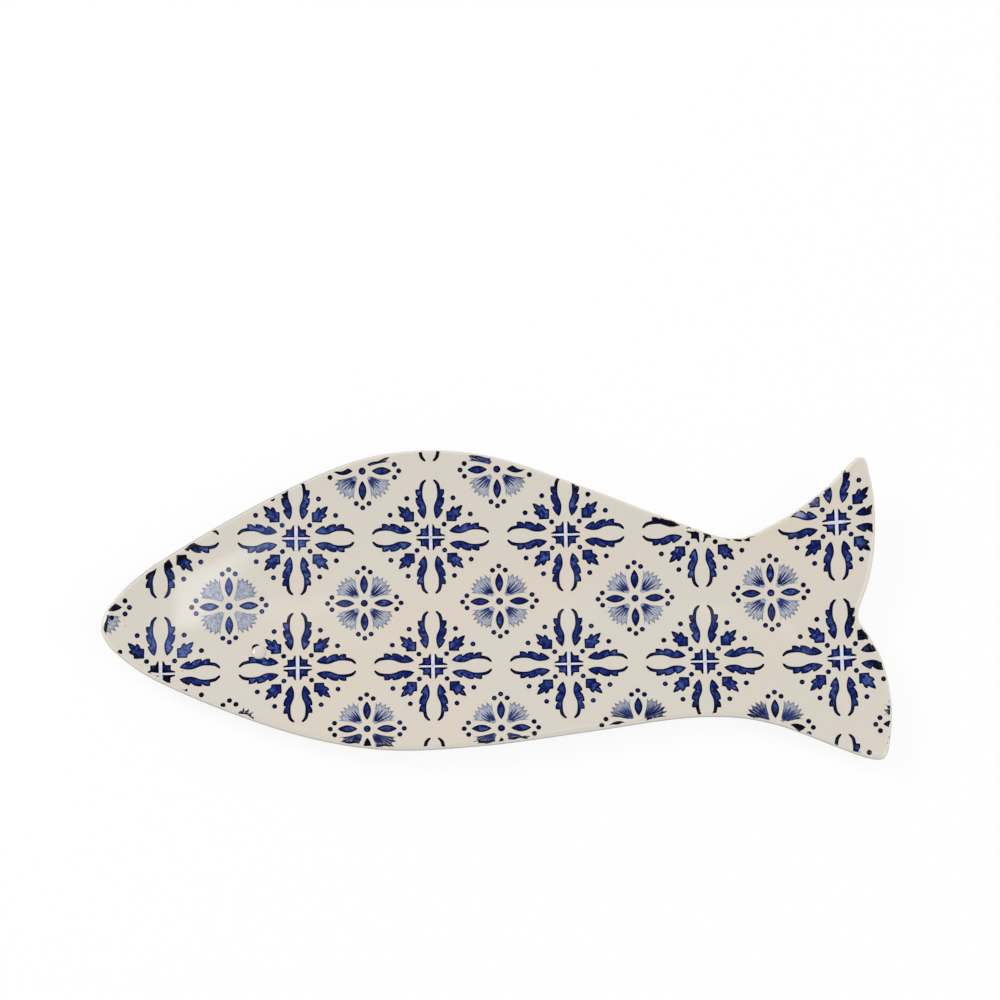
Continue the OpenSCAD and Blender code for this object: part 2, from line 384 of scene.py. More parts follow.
@dataclass(frozen=True)
class TileInk:
    """Cobalt ink under the glaze: near black outlines round a streaked blue.

    The tone fact says how light the ink is, up to where it fades; at the head's rosette that is a
    painted highlight, the glaze's glare over the ink. The rim fact says how thick it has run beside
    the rim, and below zero how far a painted highlight, the glaze's sheen on the rim, pales it there.
    """

    name: str = "tile_ink"
    blue: tuple = srgb(8, 22, 90)
    light: tuple = srgb(68, 88, 156)
    line: tuple = srgb(0, 1, 36)
    thick: tuple = srgb(4, 4, 18)
    # Painted highlight: the glaze's sheen on the rim, as pale ink.
    painted_sheen: tuple = srgb(176, 180, 208)
    # Paler ink: thinner ink, and at the head's rosette a painted highlight, the glaze's glare.
    fade_and_glare: tuple = srgb(98, 114, 162)
    fade_and_glare_deep: tuple = srgb(54, 72, 134)
    fade_and_glare_line: tuple = srgb(40, 54, 108)
    patches: Mottle = Mottle(130.0, 2.0, 0.42, 0.68)
    streaks: Mottle = Mottle(420.0, 3.0, 0.42, 0.62, 0.65)
    least_light: float = 0.45
    line_depths: tuple = (0.0004, 0.0011)
    fade_and_glare_tones: tuple = (1.25, 2.2, 0.0, 0.95)
    sheen_rims: tuple = (-0.35, -0.95, 0.0, 0.9)
    gloss: GlazeGloss = GlazeGloss()

    def material(self) -> bpy.types.Material:
        """Makes the ink.

        Returns:
            The new material.
        """
        bench = Bench(self.name)
        place = bench.place()
        patch = self.patches.on(bench, place)
        streak = self.streaks.on(bench, place)
        light = bench.times(bench.sums("ADD", patch, self.least_light), streak, bench.fact("tone"))
        tone = bench.mix(light, self.blue, self.light)
        # Paler ink where the tone fact is high, at the head's rosette a painted highlight.
        fade_and_glare_share = bench.ramp(bench.fact("tone"), *self.fade_and_glare_tones)
        tone = bench.mix(fade_and_glare_share, tone, bench.mix(streak, self.fade_and_glare_deep, self.fade_and_glare))
        line = bench.mix(fade_and_glare_share, self.line, self.fade_and_glare_line)
        inside = bench.ramp(bench.fact("depth"), *self.line_depths)
        tone = bench.mix(inside, line, tone)
        # Painted highlight: the rim's sheen pales the ink where the rim fact is below zero.
        painted_sheen = bench.times(bench.ramp(bench.fact("rim"), *self.sheen_rims), inside, patch)
        tone = bench.mix(painted_sheen, tone, self.painted_sheen)
        tone = bench.mix(bench.fact("rim"), tone, self.thick)
        return self.gloss.dress(bench, tone)


@dataclass(frozen=True)
class FanWash:
    """Thin ink of the rosettes' fans: pale grey blue with darker rays.

    The turn and reach facts say where in its fan a point lies, and the cut fact how near the end
    of the printed part.
    """

    name: str = "fan_wash"
    pale: tuple = srgb(163, 168, 182)
    bright: tuple = srgb(200, 201, 208)
    mid: tuple = srgb(78, 90, 134)
    line: tuple = srgb(88, 94, 118)
    deep: tuple = srgb(20, 27, 76)
    edge: tuple = srgb(12, 12, 30)
    rays: float = 7.0
    ray_levels: tuple = (-0.2, 0.9)
    ray_reach: tuple = (0.45, 0.95, 1.0, 0.30)
    grains: Mottle = Mottle(520.0, 2.0, 0.4, 0.62, 0.6)
    gleams: Mottle = Mottle(700.0, 2.0, 0.50, 0.66, 0.6, 0.0, 0.8)
    worn: Mottle = Mottle(900.0, 1.0, 0.36, 0.50)
    line_depths: tuple = (0.0002, 0.00085, 0.85, 0.0)
    line_reach: tuple = (0.45, 0.75, 0.15, 1.0)
    deep_rims: tuple = (0.1, 0.8)
    deep_tones: tuple = (0.1, 0.6)
    deep_rays: tuple = (0.15, 0.65, 1.0, 0.45)
    edge_cuts: tuple = (0.30, 0.45)
    gloss: GlazeGloss = GlazeGloss()

    def material(self) -> bpy.types.Material:
        """Makes the wash.

        Returns:
            The new material.
        """
        bench = Bench(self.name)
        place = bench.place()
        reach = bench.fact("reach")
        turn = bench.times(bench.fact("turn"), self.rays * 2 * math.pi)
        ray = bench.ramp(bench.sums("COSINE", turn, 0.0), *self.ray_levels)
        shade = bench.times(ray, self.grains.on(bench, place), bench.ramp(reach, *self.ray_reach))
        tone = bench.mix(self.gleams.on(bench, place), self.pale, self.bright)
        tone = bench.mix(shade, tone, self.mid)
        inside = bench.ramp(bench.fact("depth"), *self.line_depths)
        outer = bench.ramp(reach, *self.line_reach)
        tone = bench.mix(bench.times(inside, self.worn.on(bench, place), outer), tone, self.line)
        rim = bench.ramp(bench.fact("rim"), *self.deep_rims)
        inked = bench.ramp(bench.fact("tone"), *self.deep_tones)
        deep = bench.times(rim, inked, bench.ramp(ray, *self.deep_rays))
        tone = bench.mix(deep, tone, self.deep)
        tone = bench.mix(bench.ramp(bench.fact("cut"), *self.edge_cuts), tone, self.edge)
        return self.gloss.dress(bench, tone)


@dataclass(frozen=True)
class PlainTint:
    """A flat part of the print in one tone with a faint cloudiness."""

    name: str
    tone: tuple
    cloud: tuple
    clouds: Mottle = Mottle(240.0, 2.0, 0.4, 0.6)
    gloss: GlazeGloss = GlazeGloss()

    def material(self) -> bpy.types.Material:
        """Makes the tint.

        Returns:
            The new material.
        """
        bench = Bench(self.name)
        clouds = self.clouds.on(bench, bench.place())
        return self.gloss.dress(bench, bench.mix(clouds, self.tone, self.cloud))


def lengths(steps: np.ndarray) -> np.ndarray:
    """Returns how long each step in the plan is."""
    return np.hypot(*steps.T)


def rise(values: np.ndarray, start: float, reach: float) -> np.ndarray:
    """Returns 0 at start and 1 a reach further, where a reach below zero runs the other way."""
    return np.clip((values - start) / reach, 0, 1)


def closed_curve(knots: np.ndarray, steps: int) -> tuple[np.ndarray, np.ndarray]:
    """Draws the smooth closed curve through the knots.

    Args:
        knots: The knots in order.
        steps: How many points each stretch between two knots gets.

    Returns:
        The points and the curve's unit way at each.
    """
    after = np.roll(knots, -1, 0)
    gap = lengths(after - knots)[:, None]
    lean = (after - np.roll(knots, 1, 0)) / (np.roll(gap, 1, 0) + gap)
    lean_after = np.roll(lean, -1, 0)
    points, ways = [], []
    for f in np.arange(steps) / steps:
        point = knots * (2 * f**3 - 3 * f**2 + 1) + after * (3 * f**2 - 2 * f**3)
        point = point + gap * (lean * (f**3 - 2 * f**2 + f) + lean_after * (f**3 - f**2))
        way = (after - knots) * (6 * f - 6 * f**2)
        way = way + gap * (lean * (3 * f**2 - 4 * f + 1) + lean_after * (3 * f**2 - 2 * f))
        points.append(point)
        ways.append(way)
    points = np.stack(points, 1).reshape(-1, 2)
    ways = np.stack(ways, 1).reshape(-1, 2)
    return points, ways / lengths(ways)[:, None]


def between(knots: np.ndarray, order: np.ndarray, steps: int) -> np.ndarray:
    """Walks straight from knot to knot in a closed order.

    Args:
        knots: The knots.
        order: The knots' numbers, one for each stretch's start.
        steps: How many points each stretch gets.

    Returns:
        The points.
    """
    share = np.tile(np.arange(steps) / steps, len(order))[:, None]
    start = np.repeat(knots[order], steps, 0)
    end = np.repeat(knots[np.roll(order, -1)], steps, 0)
    return start + (end - start) * share


@dataclass
class PlatterForm:
    """The platter's sizes and curves, as the solids have them."""

    length: float = 0.400
    width: float = 0.1635
    middle_thick: float = 0.0065
    rim_thick: float = 0.005
    rim_slope_share: float = 0.18
    tail_length: float = 0.160
    tail_lift: float = 0.006
    tail_twist: float = 0.0075
    foot_nose_gap: float = 0.050
    foot_tail_gap: float = 0.100
    foot_back_gap: float = 0.043
    foot_belly_gap: float = 0.037
    foot_high: float = 0.002
    foot_wide: float = 0.0045
    foot_side: float = 0.0014
    foot_bare: float = 0.0008
    foot_curve_share: float = 0.5
    glaze_thick: float = 0.0005
    eye_across: float = 0.0068
    eye_high: float = 0.0013
    eye_side_share: float = 0.35
    eye_place_share: tuple = (-0.300, -0.151)
    glaze_seam_angle: float = -35.0
    steps: int = 16
    edge_shares: tuple = (
        (-0.500, -0.0755), (-0.485, 0.0125), (-0.429, 0.137), (-0.268, 0.3715),
        (-0.147, 0.4855), (-0.0195, 0.487), (0.121, 0.375), (0.2225, 0.2775), (0.304, 0.2145),
        (0.3625, 0.2685), (0.4135, 0.3525), (0.443, 0.4195), (0.459, 0.454), (0.469, 0.452),
        (0.474, 0.419), (0.481, 0.320), (0.481, 0.1855), (0.4735, 0.0735), (0.459, -0.0415),
        (0.472, -0.102), (0.4885, -0.182), (0.499, -0.312), (0.4975, -0.4235), (0.490, -0.4935),
        (0.4715, -0.497), (0.4315, -0.4615), (0.390, -0.4195), (0.353, -0.3865), (0.3025, -0.363),
        (0.233, -0.366), (0.1195, -0.4085), (-0.019, -0.4565), (-0.145, -0.468),
        (-0.265, -0.4085), (-0.4235, -0.253), (-0.485, -0.1475),
    )
    face_keel_shares: tuple = (
        (-0.320, -0.0415), (-0.295, -0.0335), (-0.225, -0.022), (-0.135, -0.004),
        (-0.020, 0.0055), (0.110, -0.016), (0.215, -0.0385), (0.290, -0.051),
        (0.350, -0.0415), (0.375, -0.0335),
    )
    back_keel_shares: tuple = (-0.39, -0.35, -0.25, -0.11, 0.06, 0.23, 0.34, 0.39, 0.41, 0.42)

    def __post_init__(self) -> None:
        """Works out the lines that run from the edge to the keels."""
        span = np.array([self.length, self.width])
        last = len(self.face_keel_shares) - 1
        fins = len(self.edge_shares) - 2 * last - 1
        order = np.array([0, *range(last), *[last] * fins, *range(last - 1, -1, -1)])
        self.foot_half = np.array([
            (self.length - self.foot_nose_gap - self.foot_tail_gap) / 2,
            (self.width - self.foot_back_gap - self.foot_belly_gap) / 2,
        ])
        self.foot_middle = np.array([
            (self.foot_nose_gap - self.foot_tail_gap) / 2,
            (self.foot_belly_gap - self.foot_back_gap) / 2,
        ])
        self.rim_radius = self.rim_thick / 2
        self.face_level = self.foot_high + self.middle_thick
        self.edge, self.way = closed_curve(np.array(self.edge_shares) * span, self.steps)
        self.out = np.stack([-self.way[:, 1], self.way[:, 0]], 1)
        self.crest = self.edge - self.out * self.rim_radius
        self.face_end = between(np.array(self.face_keel_shares) * span, order, self.steps)
        back = np.zeros((len(self.back_keel_shares), 2))
        back[:, 0] = np.array(self.back_keel_shares) * 2 * self.foot_half[0]
        self.back_end = between(back + self.foot_middle, order, self.steps)
        self.face_reach = lengths(self.face_end - self.crest)
        self.back_reach = lengths(self.back_end - self.crest)

    def tail_rise(self, plan: np.ndarray) -> np.ndarray:
        """Works out how far the tail is lifted and twisted.

        Args:
            plan: Points of the plan.

        Returns:
            The rise at each point.
        """
        along = np.clip((plan[..., 0] - self.length / 2 + self.tail_length) / self.tail_length, 0, None)
        across = plan[..., 1] / (self.width / 2)
        return self.tail_lift * along**2 + self.tail_twist * across * along**3

    def face_ring(self, share: float) -> np.ndarray:
        """Draws one ring of the face.

        Args:
            share: The ring's place, from 0 at the crest to 1 at the keel.

        Returns:
            The ring's points.
        """
        plan = self.crest + (self.face_end - self.crest) * share
        rise = self.rim_slope_share * self.face_reach / 2 * (1 - share) ** 2
        return np.column_stack([plan, self.face_level + self.tail_rise(plan) + rise])

    def back_ring(self, shares: np.ndarray) -> np.ndarray:
        """Draws one ring of the back.

        Args:
            shares: Each line's place, from 0 at the crest to 1 at the keel.

        Returns:
            The ring's points.
        """
        shares = np.broadcast_to(shares, self.back_reach.shape)
        plan = self.crest + (self.back_end - self.crest) * shares[:, None]
        rise = self.rim_slope_share * self.face_reach / 2 + self.middle_thick - self.rim_thick
        rise = rise * np.clip(1 - shares, 0, None) ** (2 * self.back_reach / self.face_reach)
        return np.column_stack([plan, self.foot_high + self.tail_rise(plan) + rise])

    def rim_ring(self, angle: float, depth: float) -> np.ndarray:
        """Returns one ring of the rounded rim.

        Args:
            angle: Degrees above the level that runs outwards.
            depth: How far under the glaze's surface the ring lies.

        Returns:
            The ring's points.
        """
        turn = math.radians(angle)
        radius = self.rim_radius - depth
        plan = self.crest + self.out * radius * math.cos(turn)
        level = self.face_ring(0.0)[:, 2] - self.rim_radius + radius * math.sin(turn)
        return np.column_stack([plan, level])

    def foot_crossing(self, grow: float) -> np.ndarray:
        """Finds where the lines of the back cross the foot's oval.

        Args:
            grow: How far outside the oval they are crossed.

        Returns:
            Each line's share there.
        """
        half = self.foot_half + grow
        start = (self.crest - self.foot_middle) / half
        way = (self.back_end - self.crest) / half
        a = (way**2).sum(1)
        b = 2 * (start * way).sum(1)
        c = (start**2).sum(1) - 1
        return (-b - np.sqrt(b**2 - 4 * a * c)) / (2 * a)

    def foot_ring(self, grow: float) -> np.ndarray:
        """Draws a ring round the foot on the ground.

        Args:
            grow: How far outside the oval the ring lies.

        Returns:
            The ring's points.
        """
        share = self.foot_crossing(grow)
        plan = self.crest + (self.back_end - self.crest) * share[:, None]
        return np.column_stack([plan, np.zeros(len(plan))])

    def eye_spot(self) -> np.ndarray:
        """Returns the eye's place in the plan."""
        return np.array(self.eye_place_share) * [self.length, self.width]


def unfolded(ring: np.ndarray, edge: np.ndarray, margin: int = 3) -> np.ndarray:
    """Straightens the small loops that a ring makes inside sharp corners of its outline.

    Args:
        ring: The ring's points.
        edge: The outline's points, as many as the ring's.
        margin: How many points on either side of a loop are moved with it.

    Returns:
        The ring without loops.
    """
    count = len(ring)
    step = np.roll(ring[:, :2], -1, 0) - ring[:, :2]
    back = (step * (np.roll(edge, -1, 0) - edge)).sum(1) < 0
    moved = np.zeros(count, bool)
    for shift in range(-margin, margin + 2):
        moved |= np.roll(back, shift)
    if not moved.any() or moved.all():
        return ring
    kept = np.flatnonzero(~moved)
    order = np.concatenate([kept - count, kept, kept + count])
    spots = np.flatnonzero(moved)
    result = ring.copy()
    for axis in range(ring.shape[1]):
        result[spots, axis] = np.interp(spots, order, np.tile(ring[kept, axis], 3))
    return result


def strip_faces(first: np.ndarray, second: np.ndarray) -> np.ndarray:
    """Joins two closed rings of point numbers with four sided faces."""
    return np.column_stack([first, np.roll(first, -1), np.roll(second, -1), second])


def lifted(rings: list[np.ndarray], high: float) -> list[np.ndarray]:
    """Returns the rings lifted by a length."""
    return [ring + np.array([0, 0, high]) for ring in rings]


class RingSkin:
    """A mesh of closed rings, each joined to the next, whose equal points become one."""

    def __init__(self, rings: list[np.ndarray], closed: bool, facts: dict | None = None) -> None:
        """Joins the rings.

        Args:
            rings: The rings, each with as many points as the others.
            closed: Whether the last ring is joined to the first one.
            facts: Numbers by name, one for each ring, that the points carry.
        """
        count = len(rings[0])
        numbers = [np.arange(count) + i * count for i in range(len(rings))]
        if closed:
            numbers.append(numbers[0])
        faces = np.concatenate([strip_faces(a, b) for a, b in zip(numbers, numbers[1:])])
        points = np.concatenate(rings)
        keys = np.round(points / SAME_PLACE).astype(np.int64)
        _, first, place = np.unique(keys, axis=0, return_index=True, return_inverse=True)
        self.points = points[first]
        self.facts = {
            name: np.repeat(values, count)[first] for name, values in (facts or {}).items()
        }
        self.faces = []
        for face in place.reshape(-1)[faces]:
            kept = [int(p) for i, p in enumerate(face) if p != face[i - 1]]
            if len(set(kept)) > 2:
                self.faces.append(kept)


def new_object(name: str, data: bpy.types.ID) -> bpy.types.Object:
    """Puts a mesh, a lamp or a camera into the scene.

    Args:
        name: The object's name.
        data: The mesh, the lamp or the camera.

    Returns:
        The new object.
    """
    made = bpy.data.objects.new(name, data)
    bpy.context.scene.collection.objects.link(made)
    return made


def mesh_piece(
    name: str,
    points: np.ndarray,
    faces: list,
    materials: list[bpy.types.Material],
    facts: dict | None = None,
) -> bpy.types.Object:
    """Makes a smooth shaded mesh object and lets it ride on the platter's body.

    Args:
        name: The piece's name.
        points: The points in metres.
        faces: The faces as point numbers.
        materials: The piece's materials in order.
        facts: Numbers by name that the points carry.

    Returns:
        The new object.
    """
    mesh = bpy.data.meshes.new(name)
    mesh.from_pydata(points.tolist(), [], [list(map(int, face)) for face in faces])
    for material in materials:
        mesh.materials.append(material)
    mesh.shade_smooth()
    for fact, values in (facts or {}).items():
        layer = mesh.attributes.new(fact, "FLOAT", "POINT")
        layer.data.foreach_set("value", np.asarray(values, np.float32))
    mesh.update()
    piece = new_object(name, mesh)
    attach(piece, ROOT_BODY)
    return piece


@dataclass
class FaceRelief:
    """The face's height everywhere, with the creases between the form's lines smoothed out.

    Each polish smooths by a reach and sets in between two gaps inside the crest. Each wave has two
    numbers that turn it, a start and a strength.
    """

    form: PlatterForm
    cell: float = 0.001
    blur: float = 0.005
    margin_blurs: float = 4.0
    spread_blurs: float = 3.0
    least_weight: float = 1e-6
    outside_share: float = -0.3
    rim_keep: float = 0.0005
    rim_blend: float = 0.012
    polishes: tuple = ((0.0013, 0.0008, 0.0030), (0.0026, 0.0030, 0.0070))
    rings: int = 40
    ripple: float = 0.00003
    waves: tuple = ((71, 38, 0.7, 1.0), (-49, 83, 2.1, 1.0), (133, -97, 4.2, 0.6))
    known_rings: dict = field(default_factory=dict)

    def build(self) -> None:
        """Casts the lines' heights onto a level grid and smooths them."""
        shares = np.linspace(self.outside_share, 1.0, self.rings)
        skin = RingSkin([self.form.face_ring(s) for s in shares], closed=False)
        tree = BVHTree.FromPolygons(skin.points.tolist(), skin.faces)
        half = np.array([self.form.length, self.form.width]) / 2 + self.margin_blurs * self.blur
        self.low = -half
        count = np.ceil(2 * half / self.cell).astype(int) + 1
        level = np.zeros(count)
        known = np.zeros(count)
        for i in range(count[0]):
            for j in range(count[1]):
                x, y = self.low + np.array([i, j]) * self.cell
                hit = tree.ray_cast(Vector((x, y, OVERHEAD)), DOWN)[0]
                if hit is not None:
                    level[i, j] = hit.z
                    known[i, j] = 1.0
        self.grid = self.smoothed(level, known, self.blur)
        axes = (self.low[k] + np.arange(count[k]) * self.cell for k in (0, 1))
        across, along = np.meshgrid(*axes)
        plan = np.column_stack([across.ravel(), along.ravel()])
        inside = inside_outline(plan, self.form.edge)
        gap = np.where(inside, outline_gap(plan, self.form.edge) - self.form.rim_radius, -1.0)
        gap = gap.reshape(across.shape).T
        level = level + (self.grid - level) * self.rim_share(gap)
        self.soft_gap = self.smoothed(gap, known, self.polishes[0][0])
        self.polished = [self.smoothed(level, known, reach) for reach, _, _ in self.polishes]

    def smoothed(self, grid: np.ndarray, known: np.ndarray, reach: float) -> np.ndarray:
        """Spreads heights out over their surroundings.

        Args:
            grid: The heights.
            known: 1 where the height is known and 0 elsewhere.
            reach: How far each height spreads.

        Returns:
            The new heights.
        """
        spread = int(self.spread_blurs * reach / self.cell)
        weights = np.exp(-0.5 * (np.arange(-spread, spread + 1) * self.cell / reach) ** 2)
        sums = []
        for part in (grid * known, known):
            across = np.apply_along_axis(np.convolve, 0, part, weights, "same")
            sums.append(np.apply_along_axis(np.convolve, 1, across, weights, "same"))
        return sums[0] / np.maximum(sums[1], self.least_weight)

    def rim_share(self, gap: np.ndarray) -> np.ndarray:
        """Returns how much of the smoothed height counts at gaps inside the crest."""
        blend = rise(gap, self.rim_keep, self.rim_blend - self.rim_keep)
        return blend**2 * (3 - 2 * blend)

    def level_at(self, grid: np.ndarray, plan: np.ndarray) -> np.ndarray:
        """Reads a grid between its cells.

        Args:
            grid: The heights.
            plan: Points of the plan.

        Returns:
            The height at each point.
        """
        place = (plan - self.low) / self.cell
        corner = np.floor(place).astype(int)
        f = place - corner
        i, j = corner.T
        near = grid[i, j] * (1 - f[:, 1]) + grid[i, j + 1] * f[:, 1]
        far = grid[i + 1, j] * (1 - f[:, 1]) + grid[i + 1, j + 1] * f[:, 1]
        return near * (1 - f[:, 0]) + far * f[:, 0]

    def ring(self, share: float, depth: float) -> np.ndarray:
        """Draws one ring of the smoothed face.

        Args:
            share: 0 at the crest and 1 at the keel.
            depth: How far under the glaze's surface the ring lies.

        Returns:
            The ring's points.
        """
        if share not in self.known_rings:
            ring = unfolded(self.form.face_ring(share), self.form.edge)
            inside = outline_gap(ring[:, :2], self.form.edge) - self.form.rim_radius
            blend = self.rim_share(inside)
            ring[:, 2] += (self.level_at(self.grid, ring[:, :2]) - ring[:, 2]) * blend
            gap = self.level_at(self.soft_gap, ring[:, :2])
            for grid, (_, start, end) in zip(self.polished, self.polishes):
                deep = rise(gap, start, end - start) * rise(inside, 0.0, self.rim_keep)
                ring[:, 2] += (self.level_at(grid, ring[:, :2]) - ring[:, 2]) * deep
            ring[:, 2] += self.unevenness(ring[:, :2]) * blend
            self.known_rings[share] = ring
        return self.known_rings[share] - np.array([0, 0, depth])

    def unevenness(self, plan: np.ndarray) -> np.ndarray:
        """Works out the hand cast face's faint waves.

        Args:
            plan: Points of the plan.

        Returns:
            How much higher the face is at each point.
        """
        x, y = plan.T
        return self.ripple * sum(
            strength * np.sin(along * x + across * y + start)
            for along, across, start, strength in self.waves
        )


@dataclass
class Dish:
    """The clay and its two coats of glaze, each a closed skin with fine facets.

    On the rim painted light lightens the glaze below the flank angle and painted shade greys it
    below the line angle, each over its own reach in degrees.
    """

    form: PlatterForm
    relief: FaceRelief
    face_rings: int = 40
    ring_power: float = 1.7
    rim_rings: int = 12
    lower_rings: int = 7
    back_rings: int = 18
    foot_rings: int = 4
    foot_curve: float = 1.5
    line_angle: float = 34.0
    line_reach: float = 24.0
    flank_angle: float = 85.0
    flank_reach: float = 60.0
    glaze: CreamGlaze = CreamGlaze()
    back: CreamGlaze = CreamGlaze(name="back_glaze")
    clay: FiredClay = FiredClay()

    def face_side(self, depth: float) -> list[np.ndarray]:
        """Draws the face from its keel out to the rim's glaze seam.

        Args:
            depth: How far under the glaze's surface the rings lie.

        Returns:
            The rings.
        """
        form = self.form
        shares = (np.arange(self.face_rings, -1, -1) / self.face_rings) ** self.ring_power
        rings = [self.relief.ring(share, depth) for share in shares]
        return rings + [
            unfolded(form.rim_ring(angle, depth), form.edge) for angle in self.rim_angles()[1:]
        ]

    def rim_angles(self) -> np.ndarray:
        """Returns the angles of the rim's rings, from the crest down to the glaze seam."""
        return np.linspace(90, self.form.glaze_seam_angle, self.rim_rings + 1)

    def under_side(self, depth: float) -> list[np.ndarray]:
        """Draws the back from the glaze seam under the rim to the glaze line outside the foot.

        Args:
            depth: How far under the glaze's surface the rings lie.

        Returns:
            The rings.
        """
        form = self.form
        angles = np.linspace(form.glaze_seam_angle, -90, self.lower_rings + 1)
        rings = [form.rim_ring(angle, depth) for angle in angles]
        top = form.foot_crossing(self.flank_top(depth))
        steps = np.arange(1, self.back_rings + 1) / self.back_rings
        rings += lifted([form.back_ring(top * f) for f in steps], depth)
        return rings + self.foot_flank(rings[-1][:, 2], depth, 1.0)

    def flank_top(self, depth: float) -> float:
        """Returns how far from the oval a flank of the foot meets the back, at a depth in the glaze."""
        return self.form.foot_wide / 2 + self.form.foot_side + self.form.glaze_thick - depth

    def foot_flank(self, top_level: np.ndarray, depth: float, side: float) -> list[np.ndarray]:
        """Draws a flank of the foot, from the back down to the glaze line.

        Args:
            top_level: The back's height along the flank's top.
            depth: How far under the glaze's surface the rings lie.
            side: 1 for the outer flank and -1 for the inner one.

        Returns:
            The rings.
        """
        form = self.form
        bare_run = form.foot_side * form.foot_curve_share * form.foot_bare / form.foot_high
        start = self.flank_top(depth)
        end = form.foot_wide / 2 + bare_run + form.glaze_thick - depth
        rings = []
        for f in np.arange(1, self.foot_rings + 1) / self.foot_rings:
            run = (1 - f) ** 2
            ring = form.foot_ring(side * (end + (start - end) * run))
            ring[:, 2] = top_level + (form.foot_bare - top_level) * (1 - (1 - f) ** self.foot_curve)
            rings.append(ring)
        return rings

    def inner_side(self, depth: float) -> list[np.ndarray]:
        """Draws the back inside the foot, from its keel to the glaze line.

        Args:
            depth: How far under the glaze's surface the rings lie.

        Returns:
            The rings.
        """
        form = self.form
        start = form.foot_crossing(-self.flank_top(depth))
        steps = np.arange(self.back_rings, -1, -1) / self.back_rings
        rings = lifted([form.back_ring(start + (1 - start) * f) for f in steps], depth)
        return rings + self.foot_flank(rings[-1][:, 2], depth, -1.0)

    def build_face(self) -> None:
        """Builds the coat on the face and over the rim."""
        outer = self.face_side(0.0)
        inner = self.face_side(self.form.glaze_thick)
        angles = self.rim_angles()
        before, after = np.zeros(self.face_rings), np.zeros(len(inner))
        # Painted shade greys the rim below the line angle, painted light lightens its flank below the
        # flank angle.
        line = rise(angles, self.line_angle, -self.line_reach)
        flank = rise(angles, self.flank_angle, -self.flank_reach)
        facts = {"painted_shade": np.concatenate([before, line, after])}
        facts["flank"] = np.concatenate([before, flank, after])
        skin = RingSkin(outer + inner[::-1], False, facts)
        self.face_skin = RingSkin(outer, False)
        self.add_piece("face_glaze_coat", skin, self.glaze.material(), "face_glaze")

    def build_back(self) -> None:
        """Builds the coats outside and inside the foot."""
        material = self.back.material()
        for where, side in (("outside", self.under_side), ("inside", self.inner_side)):
            rings = side(0.0) + side(self.form.glaze_thick)[::-1]
            skin = RingSkin(rings, where == "outside")
            self.add_piece(f"back_glaze_{where}_foot", skin, material, "back_glaze")

    def build_clay(self) -> None:
        """Builds the clay, which shows only on the foot's ground edge."""
        form = self.form
        thick = form.glaze_thick
        rings = self.face_side(thick) + self.under_side(thick)[1:]
        ground = [form.foot_ring(side * form.foot_wide / 2) for side in (1.0, -1.0)]
        rings += ground + self.inner_side(thick)[::-1]
        skin = RingSkin(rings, False)
        self.add_piece("clay_dish", skin, self.clay.material(), "clay_body")

    def add_piece(self, name: str, skin: RingSkin, material: bpy.types.Material, node: str) -> None:
        """Makes a piece that stands for one of the solids.

        Args:
            name: The piece's name.
            skin: Its mesh.
            material: Its finish.
            node: The solid that it stands for.
        """
        piece = mesh_piece(name, skin.points, skin.faces, [material], skin.facts)
        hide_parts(node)
        log.info("%s: %d points, %d faces", name, len(skin.points), len(skin.faces))

    def build(self) -> None:
        """Builds the clay and the coats."""
        self.build_clay()
        self.build_face()
        self.build_back()


class FaceTouch:
    """Finds the glazed face's height and lean under points of the plan."""

    def __init__(self, skin: RingSkin) -> None:
        """Cuts the face's outer skin into triangles.

        Args:
            skin: The face's outer skin.
        """
        mesh = bpy.data.meshes.new("face_touch")
        mesh.from_pydata(skin.points.tolist(), [], skin.faces)
        mesh.shade_smooth()
        mesh.calc_loop_triangles()
        self.points = skin.points
        self.triangles = np.array([t.vertices[:] for t in mesh.loop_triangles])
        normals = np.zeros(len(skin.points) * 3, np.float32)
        mesh.vertex_normals.foreach_get("vector", normals)
        self.normals = normals.reshape(-1, 3).astype(float)
        self.flip = 1.0 if self.normals[:, 2].sum() > 0 else -1.0
        self.tree = BVHTree.FromPolygons(skin.points.tolist(), self.triangles.tolist())
        bpy.data.meshes.remove(mesh)

    def press(self, plan: np.ndarray) -> tuple[np.ndarray, np.ndarray]:
        """Lays points of the plan on the face, seen from overhead.

        Args:
            plan: The points.

        Returns:
            The points on the face and the face's normals there.
        """
        hits = [self.tree.ray_cast(Vector((x, y, OVERHEAD)), DOWN)[2] for x, y in plan]
        corners = self.triangles[hits]
        a, b, c = (self.points[corners[:, k]] for k in range(3))
        ab, ac, ap = b[:, :2] - a[:, :2], c[:, :2] - a[:, :2], plan - a[:, :2]
        area = ab[:, 0] * ac[:, 1] - ab[:, 1] * ac[:, 0]
        area = np.where(np.abs(area) < LEAST_AREA, LEAST_AREA, area)
        v = (ap[:, 0] * ac[:, 1] - ap[:, 1] * ac[:, 0]) / area
        w = (ab[:, 0] * ap[:, 1] - ab[:, 1] * ap[:, 0]) / area
        share = np.column_stack([1 - v - w, v, w])[:, :, None]
        level = (share * self.points[corners]).sum(1)[:, 2]
        lean = (share * self.normals[corners]).sum(1) * self.flip
        return np.column_stack([plan, level]), lean / np.linalg.norm(lean, axis=1)[:, None]


class Ink(Enum):
    """The print's tones, each with its own material."""

    DARK = 0
    WASH = 1
    BAND = 2
    STROKE = 3


@dataclass
class Stencil:
    """One flat shape of the print, filled with triangles, in shares of the tile's pitch.

    Its points know their depth inside the outline in metres, and a fan's know where in it they lie.
    """

    points: np.ndarray
    triangles: np.ndarray
    depth: np.ndarray
    ink: Ink
    turn: np.ndarray | None = None
    reach: np.ndarray | None = None

    def moved(self, matrix: np.ndarray) -> Stencil:
        """Returns the shape turned or mirrored by a matrix."""
        points = self.points @ matrix.T
        return Stencil(points, self.triangles, self.depth, self.ink, self.turn, self.reach)


